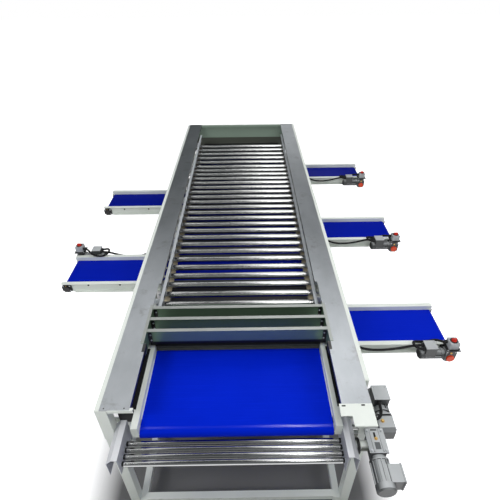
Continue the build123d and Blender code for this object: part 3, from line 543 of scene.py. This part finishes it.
def slot_mark(shape, place, length, width, height):
    """Adds a flat slot shape with round ends, lying along X."""
    radius, straight = width / 2, (length - width) / 2
    angles = [pi * i / (arc_points - 1) for i in range(arc_points)]
    right = [(straight + radius * sin(a), -radius * cos(a)) for a in angles]
    outline = right + [(-x, -y) for x, y in right]
    low = [shape.verts.new(Vector(place) + Vector((x, y, 0))) for x, y in outline]
    high = [shape.verts.new(Vector(place) + Vector((x, y, height))) for x, y in outline]
    shape.faces.new(list(reversed(low)))
    shape.faces.new(high)
    for i in range(len(low)):
        j = (i + 1) % len(low)
        shape.faces.new((low[i], low[j], high[j], high[i]))


def add_piece(shape, name, material, body="frame", soften=0.0):
    """Makes a piece of the object from a mesh and lets it ride on a body."""
    mesh = bpy.data.meshes.new(name)
    shape.to_mesh(mesh)
    shape.free()
    mesh.materials.append(material)
    smooth(mesh)
    piece = bpy.data.objects.new(name, mesh)
    bpy.context.scene.collection.objects.link(piece)
    if soften:
        edge = piece.modifiers.new("edge", "BEVEL")
        edge.width = soften
        edge.segments = 2
    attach(piece, body)
    return piece


# Covers, baffles and rails
sheet_edge = 0.0006
bar_edge = 0.0008
cover_screw_xs = (0.655, 0.775)
cover_screw_inset = 0.014
low_screw = 0.0043
rail_tab_bolt = (0.632, 0.615, 1.229)
rail_tab_bolt_radius = 0.0095
baffle_ys = (0.630, 0.744, 0.858)
baffle_side = 0.638
baffle_screw_x = 0.666
baffle_screw_ys = (0.525, 0.687, 0.801, 0.860)
bracket_width = 0.022
bracket_sheet = 0.003
bracket_z = (1.262, 1.366)
bracket_bolt_inset = 0.025
bracket_bolt_x = 0.625
bracket_bolt_radius = 0.0055
clip_x = (0.6185, 0.640)
clip_y = (0.428, 0.498)
clip_sheet = 0.002
clip_drop = 0.045
# Slots of the drive guard: flat black marks, painted shade for their dark insides
guard_slots = ((0.631, 0.007), (0.746, 0.010))
guard_slot_size = (0.024, 0.010, 0.00002)
guard_top = 1.403
rail_top = 1.225
# A black strip on each transfer rail: painted shade for the gap beside the cover
shade_strip_x = (0.638, 0.672)
shade_strip_y = (0.115, 0.600)
shade_strip_height = 0.002
# A black sheet in the mouth of the left side box: painted shade for its dark inside
shade_sheet_x = (-0.758, -0.652)
shade_sheet_y = (0.1075, 0.1105)
shade_sheet_z = (1.100, 1.392)
shade_sheet_screw_inset = 0.02
shade_sheet_screw_radius = 0.005
web_face = 0.194
web_bolt_xs = (1.14, 1.44)
web_bolt_z = 1.020
web_bolt_radius = 0.007


def cover_screws():
    shape = bmesh.new()
    length = far_y - near_y
    spots = [(-x, cover_screw_inset) for x in cover_screw_xs]
    spots += [(side * x, length - cover_screw_inset) for side in both_sides for x in cover_screw_xs]
    for x, y in spots:
        socket_screw(shape, at(x, y, cover_z), up, low_screw)
    add_piece(shape, "cover_screws", dark_steel)


def rail_tab_bolts():
    shape = bmesh.new()
    x, y, z = rail_tab_bolt
    for side in both_sides:
        hex_bolt(shape, at(side * x, y, z), up, rail_tab_bolt_radius)
    add_piece(shape, "rail_tab_bolts", zinc_bolt)


def rail_gap_shade():
    """A black strip along the outer half of each transfer rail, under the cover's edge: painted shade for
    the dark gap between rail and cover.
    """
    shape = bmesh.new()
    x0, x1 = shade_strip_x
    y0, y1 = shade_strip_y
    for side in both_sides:
        slab(shape, at(side * x0, y0, rail_top), at(side * x1, y1, rail_top + shade_strip_height))
    add_piece(shape, "rail_gap_shade", cable_jacket, soften=sheet_edge)


def box_mouth_shade():
    """A black sheet that closes the mouth of the left side box behind its lintel, with its two screws:
    painted shade for the dark inside of the box.
    """
    sheet, screws = bmesh.new(), bmesh.new()
    (x0, x1), (y0, y1), (z0, z1) = shade_sheet_x, shade_sheet_y, shade_sheet_z
    slab(sheet, at(x0, y0, z0), at(x1, y1, z1))
    for x in inset(shade_sheet_x, shade_sheet_screw_inset):
        socket_screw(screws, at(x, y0, z1 - shade_sheet_screw_inset), to_table, shade_sheet_screw_radius)
    add_piece(sheet, "box_mouth_shade", black_plastic, soften=sheet_edge)
    add_piece(screws, "shade_sheet_screws", dark_steel)


def web_bolts():
    """Bolts through the far webs of the cross rails."""
    shape = bmesh.new()
    for conveyor in conveyors:
        outward = heading(conveyor, 0, 1, 0)
        for x in web_bolt_xs:
            hex_bolt(shape, beside(conveyor, x, web_face, web_bolt_z), outward, web_bolt_radius)
    add_piece(shape, "web_bolts", dark_steel)


def baffle_brackets():
    """An angle in each corner between a baffle and its side plates, with its bolts."""
    shape, bolts = bmesh.new(), bmesh.new()
    foot, head = bracket_z
    for side in both_sides:
        wall = side * baffle_side
        for back in baffle_ys:
            front = back - bracket_sheet
            slab(shape, at(wall - side * bracket_width, front, foot), at(wall, back, head))
            slab(shape, at(wall - side * bracket_sheet, back - bracket_width, foot), at(wall, front, head))
            for z in inset(bracket_z, bracket_bolt_inset):
                hex_bolt(bolts, at(side * bracket_bolt_x, front, z), to_table, bracket_bolt_radius)
        for y in baffle_screw_ys:
            socket_screw(bolts, at(side * baffle_screw_x, y, cover_z), up, low_screw)
    add_piece(shape, "baffle_brackets", dark_steel, soften=bar_edge)
    add_piece(bolts, "baffle_bolts", zinc_bolt)


def edge_clips():
    """Folded dark clips on the covers' inner edges, in front of the baffle plates."""
    shape = bmesh.new()
    (edge, back), (near, far) = clip_x, clip_y
    for side in both_sides:
        slab(shape, at(side * edge, near, cover_z), at(side * back, far, cover_z + clip_sheet))
        slab(shape, at(side * edge, near, cover_z - clip_drop),
             at(side * (edge + clip_sheet), far, cover_z))
    add_piece(shape, "edge_clips", dark_steel, soften=sheet_edge)


def guard_marks():
    """Two adjusting slots in the drive guard, drawn as flat black marks: painted shade for their dark
    insides.
    """
    shape = bmesh.new()
    for x, y in guard_slots:
        slot_mark(shape, at(x, y, guard_top), *guard_slot_size)
    add_piece(shape, "guard_slots", black_plastic)


# Rollers; profiles are (radius, distance along the axis)
side_bar_face = 0.651
axle_nut_radius = 0.015
stud_profile = ((0, 0), (0.0085, 0), (0.0085, 0.038), (0.0065, 0.040), (0, 0.040))
stud_sides = 14
seal_size = (0.0125, 0.0265, 0.005)
roller_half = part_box("grader_roller_01")[1][0]
table_plate_left, table_plate_right = -0.690, 0.650
table_nut_height = 0.004
table_nut_profile = ((0, 0), (0.0135, 0), (0.0135, table_nut_height), (0, table_nut_height))
table_bush_profile = ((0, 0), (0.0125, 0), (0.0150, 0.003), (0.0150, 0.010), (0.0115, 0.0137), (0, 0.0137))
table_bush_sides = 20


def roller_spots(prefix):
    return [(name, spot) for name, spot in sorted(spins.items()) if name.startswith(prefix)]


def axle_nuts():
    """A nut with its washer and a stud end outside the side bars, on both ends of every roller."""
    shape = bmesh.new()
    for _, spot in roller_spots("grader_roller"):
        for side in both_sides:
            axis = Vector((side, 0, 0))
            face = Vector((side * side_bar_face, spot.y, spot.z))
            hex_bolt(shape, face, axis, axle_nut_radius)
            turned(shape, face, axis, stud_profile, stud_sides)
    add_piece(shape, "axle_nuts", zinc_bolt)


def roller_seals():
    """A seal ring at both ends of each roller; it turns with the roller."""
    for name, spot in roller_spots("grader_roller"):
        shape = bmesh.new()
        for side in both_sides:
            face = Vector((side * roller_half, spot.y, spot.z))
            collar(shape, face, (side, 0, 0), *seal_size)
        add_piece(shape, name.replace("roller", "seals"), black_plastic, name)


def table_bushes():
    """Black bushes and bright nuts between the table's plates and its rollers."""
    bushes, nuts = bmesh.new(), bmesh.new()
    for _, spot in roller_spots("table_roller"):
        for x, side in ((table_plate_left, 1), (table_plate_right, -1)):
            axis = Vector((side, 0, 0))
            face = Vector((x, spot.y, spot.z))
            turned(nuts, face, axis, table_nut_profile, hexagon)
            turned(bushes, face + table_nut_height * axis, axis, table_bush_profile, table_bush_sides)
    add_piece(bushes, "table_bushes", black_plastic)
    add_piece(nuts, "table_nuts", zinc_bolt)


# Drives of the cross conveyors
drive_x = 1.647
gear_y = -0.277
gear_z = 0.9907
gear_face = gear_y - 0.028
gear_bolt_x = 0.032
gear_bolt_zs = (gear_z - 0.034, gear_z + 0.060)
gear_bolt_radius = 0.0045
oil_plug_z = gear_z + 0.050
oil_plug_radius = 0.006
motor_z = 1.0127
cowl_x = drive_x - 0.240
grille_radii = (0.034, 0.029, 0.024, 0.019, 0.014, 0.009)
grille_high, grille_low = 0.0018, 0.0005
terminal_x = (drive_x - 0.208, drive_x - 0.124)
terminal_y = (gear_y - 0.041, gear_y + 0.041)
terminal_lid = 1.1087
lid_screw_inset = 0.011
lid_screw_radius = 0.0045
isolator_foot = 1.0917
isolator_lid = 1.1517
isolator_bolt_pitch = 0.045
isolator_bolt_radius = 0.005
isolator_screw_pitch = 0.030
isolator_screw_radius = 0.0035
knob_collar = (0.0208, 0.0285, 0.003)
bearing_face = 0.206
bearing_bolt_pitch = 0.031
bearing_bolt_radius = 0.005
nipple_y = 0.213
nipple_z = gear_z + 0.0315
nipple_profile = ((0, 0), (0.004, 0), (0.004, 0.003), (0.0025, 0.004), (0.0032, 0.0075), (0.0015, 0.010),
                  (0, 0.010))
nipple_sides = 12


def drive_fasteners():
    """Bolts of gear units and isolators, lid screws and oil plugs of the four driven conveyors."""
    bolts, screws, plugs = bmesh.new(), bmesh.new(), bmesh.new()
    gear_bolts = pairs(around(drive_x, gear_bolt_x), gear_bolt_zs)
    isolator_bolts = pairs(around(drive_x, isolator_bolt_pitch), around(gear_y, isolator_bolt_pitch))
    isolator_screws = pairs(around(drive_x, isolator_screw_pitch), around(gear_y, isolator_screw_pitch))
    lid_screws = pairs(inset(terminal_x, lid_screw_inset), inset(terminal_y, lid_screw_inset))
    for conveyor in driven:
        outward = heading(conveyor, 0, -1, 0)
        for x, z in gear_bolts:
            hex_bolt(bolts, beside(conveyor, x, gear_face, z), outward, gear_bolt_radius)
        for x, y in isolator_bolts:
            hex_bolt(bolts, beside(conveyor, x, y, isolator_foot), up, isolator_bolt_radius)
        for x, y in isolator_screws:
            socket_screw(screws, beside(conveyor, x, y, isolator_lid), up, isolator_screw_radius)
        for x, y in lid_screws:
            socket_screw(screws, beside(conveyor, x, y, terminal_lid), up, lid_screw_radius)
        hex_bolt(plugs, beside(conveyor, drive_x, gear_face, oil_plug_z), outward, oil_plug_radius)
    add_piece(bolts, "drive_bolts", bolt_steel)
    add_piece(screws, "drive_screws", bolt_steel)
    add_piece(plugs, "drive_oil_plugs", brass)


def cowl_grilles():
    """Ringed air inlets on the cross drives' fan cowls, and the collars round their isolator knobs."""
    grilles, collars = bmesh.new(), bmesh.new()
    profile = [(0, 0)]
    for number, radius in enumerate(grille_radii):
        height = grille_high if number % 2 == 0 else grille_low
        profile += [(radius, profile[-1][1]), (radius, height)]
    profile += [(0, profile[-1][1])]
    for conveyor in driven:
        inward = heading(conveyor, -1, 0, 0)
        turned(grilles, beside(conveyor, cowl_x, gear_y, motor_z), inward, profile, cap_sides)
        collar(collars, beside(conveyor, drive_x, gear_y, isolator_lid), up, *knob_collar)
    add_piece(grilles, "cowl_grilles", black_plastic)
    add_piece(collars, "knob_collars", black_plastic)


def bearing_bolts():
    """Bolts and grease nipples of the drive drums' flange bearings."""
    bolts, nipples = bmesh.new(), bmesh.new()
    spots = pairs(around(drive_x, bearing_bolt_pitch), around(gear_z, bearing_bolt_pitch))
    for conveyor in conveyors:
        sides = (1,) if conveyor in driven else (1, -1)
        for side in sides:
            outward = heading(conveyor, 0, side, 0)
            for x, z in spots:
                hex_bolt(bolts, beside(conveyor, x, side * bearing_face, z), outward, bearing_bolt_radius)
            top = beside(conveyor, drive_x, side * nipple_y, nipple_z)
            turned(nipples, top, up, nipple_profile, nipple_sides)
    add_piece(bolts, "bearing_bolts", bolt_steel)
    add_piece(nipples, "grease_nipples", brass)


# Drives of the transfer belt and the table
transfer_lid_x, transfer_lid_y, transfer_lid_z = (0.8775, 0.9725), (0.1395, 0.2395), 1.2577
transfer_screw_radius = 0.0048
transfer_gear_face = 0.975
transfer_shaft = (0.025, 1.1367)
transfer_bolt_pitch = 0.044
transfer_bolt_radius = 0.0065
transfer_cap_profile = ((0, 0), (0.030, 0), (0.030, 0.006), (0.024, 0.009), (0, 0.009))
transfer_plug = (0.905, 0.030, 1.1957)
transfer_plug_radius = 0.009
table_lid_x, table_lid_y, table_lid_z = (0.776, 0.889), (-0.170, -0.020), 1.200
table_bolt_inset = 0.014
table_bolt_radius = 0.0085
table_plug_y = -0.083
table_plug_radius = 0.008
table_rib_inset, table_rib_width, table_rib_height = 0.026, 0.007, 0.004
table_rib_end = 0.006
table_slot_shift, table_slot_width, table_slot_height = -0.010, 0.012, 0.002
table_slot_y = (-0.078, -0.046)
round_slot_shift, round_slot_y = -0.004, -0.030
round_slot_size = (0.040, 0.008, 0.001)
bare_plate_y = (-0.148, -0.106)
bare_plate_width, bare_plate_height = 0.031, 0.001
table_shaft = (-0.095, 1.141)
table_plate_face = 0.720
table_collar = (0.0305, 0.047, 0.016)
collar_bolt_pitch = 0.0275
collar_bolt_radius = 0.0055
plate_edge = 0.0003
slot_edge = 0.0002


def transfer_drive(bolts, screws, plugs, caps):
    """Adds the lid screws, bolts, shaft cap and oil plug of the transfer belt's gear motor."""
    for x, y in pairs(inset(transfer_lid_x, lid_screw_inset), inset(transfer_lid_y, lid_screw_inset)):
        socket_screw(screws, at(x, y, transfer_lid_z), up, transfer_screw_radius)
    shaft_y, shaft_z = transfer_shaft
    for y, z in pairs(around(shaft_y, transfer_bolt_pitch), around(shaft_z, transfer_bolt_pitch)):
        hex_bolt(bolts, at(transfer_gear_face, y, z), to_right, transfer_bolt_radius)
    turned(caps, at(transfer_gear_face, shaft_y, shaft_z), to_right, transfer_cap_profile, cap_sides)
    hex_bolt(plugs, at(*transfer_plug), up, transfer_plug_radius)


def table_drive(bolts, plugs, caps, plates, ribs, slots):
    """Adds the bolts, plug, ribs, slots and bare plate of the table gear unit's lid, and its shaft collar."""
    for x, y in pairs(inset(table_lid_x, table_bolt_inset), inset(table_lid_y, table_bolt_inset)):
        hex_bolt(bolts, at(x, y, table_lid_z), up, table_bolt_radius)
    middle = sum(table_lid_x) / 2
    hex_bolt(plugs, at(middle, table_plug_y, table_lid_z), up, table_plug_radius)
    near, far = inset(table_lid_y, table_rib_end)
    for side, edge in zip((1, -1), table_lid_x):
        inner = edge + side * table_rib_inset
        slab(ribs, at(inner, near, table_lid_z),
             at(inner + side * table_rib_width, far, table_lid_z + table_rib_height))
    near, far = table_slot_y
    left = middle + table_slot_shift
    slab(slots, at(left, near, table_lid_z),
         at(left + table_slot_width, far, table_lid_z + table_slot_height))
    slot_mark(slots, at(middle + round_slot_shift, round_slot_y, table_lid_z), *round_slot_size)
    near, far = bare_plate_y
    left, right = around(middle, bare_plate_width / 2)
    slab(plates, at(left, near, table_lid_z), at(right, far, table_lid_z + bare_plate_height))
    shaft_y, shaft_z = table_shaft
    collar(caps, at(table_plate_face, shaft_y, shaft_z), to_right, *table_collar)
    collar_face = table_plate_face + table_collar[2]
    for y, z in pairs(around(shaft_y, collar_bolt_pitch), around(shaft_z, collar_bolt_pitch)):
        hex_bolt(bolts, at(collar_face, y, z), to_right, collar_bolt_radius)


def front_drives():
    """Fasteners, caps, ribs, slots and the bare plate of the two front gear motors."""
    bolts, screws, plugs, caps, plates, ribs, slots = (bmesh.new() for _ in range(7))
    transfer_drive(bolts, screws, plugs, caps)
    table_drive(bolts, plugs, caps, plates, ribs, slots)
    add_piece(bolts, "front_drive_bolts", bolt_steel)
    add_piece(screws, "front_drive_screws", bolt_steel)
    add_piece(plugs, "front_drive_plugs", brass)
    add_piece(caps, "front_drive_breathers", black_plastic)
    add_piece(plates, "bare_plate", slate_plate, soften=plate_edge)
    add_piece(ribs, "table_lid_ribs", grey_paint, soften=bar_edge)
    add_piece(slots, "table_lid_slots", black_plastic, soften=slot_edge)


# Cables
cable_diameter = 0.020
drive_cable_diameter = 0.019
gland_radius = 0.015
gland_wide, gland_neck, gland_rim = 0.0141, 0.0120, 0.0135
gland_length = 0.020
gland_nut, gland_nut_edge = 0.007, 0.006
gland_dome = (0.009, 0.016, 0.019)
gland_play = 0.0006
gland_sides = 12
web_x = 0.830
web_gland_z = 1.120
terminal_gland_z = 1.0827
feed_y = gear_y + 0.0205
feed_sag = 0.058
feed_bow = 0.007
jumper_y = gear_y - 0.0205
right_jumper_side = 0.060
left_jumper_side = 0.084
jumper_lead = 0.020
isolator_face_x = drive_x - 0.036
isolator_gland_y = gear_y + 0.020
isolator_gland_z = 1.1217
rail_z = 1.062
drive_gland = (0.905, 0.1395, 1.2317)
side_gland = (0.800, 0.020, 1.2247)

# Points of a feed cable's route, as shares of its span, bow and sag, and near its end of its span and sag
feed_points = ((0, 0, 0), (0.10, 0, 0.07), (0.27, 0.4, 0.62), (0.46, 1, 1), (0.66, 0.7, 0.97),
               (0.84, 0.3, 0.38))
feed_end_points = ((0.06, 0.03), (0, 0))


def gland(shape, place, axis, diameter):
    """Adds a cable gland: a hexagon, a round collar and a ribbed dome nut that closes on the cable."""
    nut = [(0, 0), (gland_radius, 0), (gland_radius, gland_nut_edge), (gland_rim, gland_nut),
           (0, gland_nut)]
    turned(shape, place, axis, nut, hexagon)
    foot, shoulder, crown = gland_dome
    dome = [(0, gland_nut), (gland_neck, gland_nut), (gland_neck, foot), (gland_wide, foot),
            (gland_wide, shoulder), (gland_neck, crown), (diameter / 2 + gland_play, gland_length),
            (0, gland_length)]
    turned(shape, place, axis, dome, gland_sides)


def cable(name, points, diameter, glands):
    """A smooth cable whose control points are the route's points, and its two glands."""
    curve = bpy.data.curves.new(name, "CURVE")
    curve.dimensions = "3D"
    curve.bevel_depth = diameter / 2
    curve.bevel_resolution = 4
    curve.use_fill_caps = True
    spline = curve.splines.new("NURBS")
    spline.points.add(len(points) - 1)
    for point, place in zip(spline.points, points):
        point.co = (*place, 1)
    spline.order_u = 3
    spline.use_endpoint_u = True
    spline.resolution_u = 8
    curve.materials.append(cable_jacket)
    piece = bpy.data.objects.new(name, curve)
    bpy.context.scene.collection.objects.link(piece)
    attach(piece, "frame")
    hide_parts("power_cables")
    shape = bmesh.new()
    for place, axis in glands:
        gland(shape, place, axis, diameter)
    ends = add_piece(shape, name.replace("cable", "glands"), black_plastic)


def feed_route():
    """From the terminal box along the conveyor, sagging, to the side beam."""
    start = terminal_x[0] - gland_length
    end = web_x + gland_length
    span = start - end
    route = [(start - along * span, feed_y + bow * feed_bow, terminal_gland_z - sag * feed_sag)
             for along, bow, sag in feed_points]
    route += [(end + along * span, feed_y, web_gland_z - sag * feed_sag) for along, sag in feed_end_points]
    return route


def jumper_route(side):
    """From the isolator down beside the terminal box, over the rail and round to the second gland.

    The offsets are set so that the loop looks as it does in the photograph."""
    start = isolator_face_x - gland_length
    end = terminal_x[0] - gland_length
    far = gear_y + side
    ease = side - right_jumper_side
    turn = (far - jumper_y) / 2
    corner = turn * tan(pi / 8)
    turn_x = end - jumper_lead
    high = rail_z + cable_diameter
    return [
        (start, isolator_gland_y, isolator_gland_z),
        (start - 0.030, isolator_gland_y + 0.008, isolator_gland_z - 0.003),
        (start - 0.046 - 0.83 * ease, far - 0.002 - 0.58 * ease, isolator_gland_z - 0.020 + 0.17 * ease),
        (start - 0.112, far, high - 0.003),
        (start - 0.164, far + 0.004, high - 0.007),
        (turn_x - corner, far, high),
        (turn_x - turn, far - turn + corner, high + 0.015),
        (turn_x - turn, jumper_y + turn - corner, high + 0.019),
        (turn_x - corner, jumper_y, terminal_gland_z + 0.009),
        (end, jumper_y, terminal_gland_z),
    ]


def drive_cable_route():
    """From the transfer motor's terminal box over its gear unit and round to the side of the machine.

    The offsets are set to clear the gear unit."""
    x, face, z = drive_gland
    start = face - gland_length
    wall, end_y, end_z = side_gland
    end_x = wall + gland_length
    return [
        (x, start, z),
        (x - 0.001, start - 0.028, z),
        (x - 0.006, start - 0.058, z - 0.001),
        (x - 0.021, start - 0.084, z - 0.003),
        (end_x + 0.038, end_y + 0.002, end_z + 0.001),
        (end_x + 0.018, end_y, end_z),
        (end_x, end_y, end_z),
    ]


def cables():
    for number, conveyor in enumerate(driven, start=1):
        inward = heading(conveyor, -1, 0, 0)
        side = right_jumper_side if conveyor[0] > 0 else left_jumper_side
        feed = [beside(conveyor, *point) for point in feed_route()]
        feed_ends = [(beside(conveyor, terminal_x[0], feed_y, terminal_gland_z), inward),
                     (beside(conveyor, web_x, feed_y, web_gland_z), -inward)]
        jumper = [beside(conveyor, *point) for point in jumper_route(side)]
        jumper_ends = [(beside(conveyor, isolator_face_x, isolator_gland_y, isolator_gland_z), inward),
                       (beside(conveyor, terminal_x[0], jumper_y, terminal_gland_z), inward)]
        cable(f"feed_cable_{number}", feed, cable_diameter, feed_ends)
        cable(f"jumper_cable_{number}", jumper, cable_diameter, jumper_ends)
    drive_ends = [(at(*drive_gland), to_table), (at(*side_gland), to_right)]
    cable("drive_cable", [at(*point) for point in drive_cable_route()], drive_cable_diameter, drive_ends)


# Studio
white = (1, 1, 1, 1)
floor_half = 30.0
floor_drop = 0.001
floor_roughness = 0.9
floor_gloss = 0.1
floor_white = 1.0
floor_dim = 0.0
floor_dim_edge = 0.15
floor_white_edge = 0.60
# The floor's colour under the machine, a painted shadow
floor_painted_shadow = 0.20
floor_pale = 0.86
floor_pale_edge = 0.45
horizon_white = 0.01
hall_low = (0.075, 0.088, 0.084)
hall_high = (0.095, 0.103, 0.107)
hall_stops = (0.06, 0.5)


def beside_machine(tree):
    """How far a point of the floor lies outside the machine's own footprint, in metres."""
    beyond = add_node(tree, "ShaderNodeVectorMath", operation="SUBTRACT")
    beyond.inputs[1].default_value = (machine_half_width, machine_half_length, 0)
    tree.links.new(from_middle(tree), beyond.inputs[0])
    outside = add_node(tree, "ShaderNodeVectorMath", operation="MAXIMUM")
    tree.links.new(beyond.outputs[0], outside.inputs[0])
    distance = add_node(tree, "ShaderNodeVectorMath", operation="LENGTH")
    tree.links.new(outside.outputs[0], distance.inputs[0])
    return distance.outputs["Value"]


def make_floor():
    """A pale floor: white to the eye and in reflections away from the machine, with a painted shadow under
    it.
    """
    material, shader, tree = new_material("pale_floor")
    distance = beside_machine(tree)
    # Painted shadow: the floor's own colour darkens near and under the machine.
    ground = spread(tree, distance, floor_painted_shadow, floor_pale, floor_dim_edge, floor_pale_edge)
    tree.links.new(ground, shader.inputs["Base Color"])
    shader.inputs["Roughness"].default_value = floor_roughness
    shader.inputs["Specular IOR Level"].default_value = floor_gloss
    light_path = add_node(tree, "ShaderNodeLightPath")
    seen = larger(tree, light_path.outputs["Is Camera Ray"], light_path.outputs["Is Glossy Ray"])
    strength = spread(tree, distance, floor_dim, floor_white, floor_dim_edge, floor_white_edge)
    glow = join(tree, "MULTIPLY", seen, strength)
    shader.inputs["Emission Color"].default_value = white
    tree.links.new(glow, shader.inputs["Emission Strength"])
    mesh = bpy.data.meshes.new("floor")
    corners = [(-floor_half, -floor_half, 0), (floor_half, -floor_half, 0),
               (floor_half, floor_half, 0), (-floor_half, floor_half, 0)]
    mesh.from_pydata(corners, [], [(0, 1, 2, 3)])
    mesh.materials.append(material)
    floor = bpy.data.objects.new("floor", mesh)
    floor.location.z = -floor_drop
    bpy.context.scene.collection.objects.link(floor)


def set_world():
    """White to the eye; for its light and reflections white at the horizon and a dim hall above it."""
    world = bpy.data.worlds.new("studio")
    world.use_nodes = True
    tree = world.node_tree
    place = add_node(tree, "ShaderNodeTexCoord")
    split = add_node(tree, "ShaderNodeSeparateXYZ")
    tree.links.new(place.outputs["Generated"], split.inputs["Vector"])
    low, high = hall_stops
    sky = ramp(tree, split.outputs["Z"], [(horizon_white, white[:3]), (low, hall_low), (high, hall_high)])
    light_path = add_node(tree, "ShaderNodeLightPath")
    seen = add_node(tree, "ShaderNodeMix", data_type="RGBA")
    seen.inputs[mix_second].default_value = white
    tree.links.new(light_path.outputs["Is Camera Ray"], seen.inputs["Factor"])
    tree.links.new(sky, seen.inputs[mix_first])
    background = tree.nodes["Background"]
    tree.links.new(seen.outputs[mix_result], background.inputs["Color"])
    bpy.context.scene.world = world


def area_light(name, place, size, power, tilt=0, turn=0):
    """A lamp that looks straight down, or is tilted forward and then turned by some degrees."""
    data = bpy.data.lights.new(name, "AREA")
    data.shape = "RECTANGLE"
    data.size, data.size_y = size
    data.energy = power
    light = bpy.data.objects.new(name, data)
    light.location = place
    light.rotation_euler = (radians(tilt), 0, radians(turn))
    bpy.context.scene.collection.objects.link(light)


def set_light():
    """Ceiling panels, strips along the machine and across it, panels beyond both its ends and two keys."""
    area_light("right_ceiling", (4.12, 1.3, 7.0), (7.75, 9.4), 137)
    area_light("left_ceiling", (-3.05, 1.3, 7.0), (2.9, 9.5), 87)
    area_light("near_box", (1.9, 1.2, 6.0), (3.0, 3.5), 8)
    area_light("strip_lamp", (0.60, 0.5, 5.4), (1.0, 10.0), 28, turn=4.3)
    area_light("glare_lamp", (0.56, 0.5, 5.4), (0.3, 10.0), 14, turn=4.3)
    area_light("table_strip", (0.88, -3.0, 5.2), (0.32, 4.2), 34, turn=4.3)
    area_light("cross_lamp", (2.4, 1.2, 5.5), (7.6, 0.5), 32)
    area_light("far_panel", (1.5, 9.5, 3.9), (4.0, 2.0), 26, tilt=75, turn=180)
    area_light("front_wall", (0.0, -8.0, 4.6), (9.0, 3.5), 20, tilt=60)
    area_light("right_key", (3.2, -4.6, 5.2), (1.8, 1.8), 54, tilt=51, turn=35)
    area_light("left_key", (-3.2, -4.6, 5.2), (1.8, 1.8), 100, tilt=51, turn=-35)


dress_nodes()
cover_screws()
rail_tab_bolts()
rail_gap_shade()
box_mouth_shade()
web_bolts()
baffle_brackets()
edge_clips()
guard_marks()
axle_nuts()
roller_seals()
table_bushes()
drive_fasteners()
cowl_grilles()
bearing_bolts()
front_drives()
cables()
make_floor()
set_world()
set_light()
set_camera()
bpy.context.scene.view_settings.view_transform = "Standard"
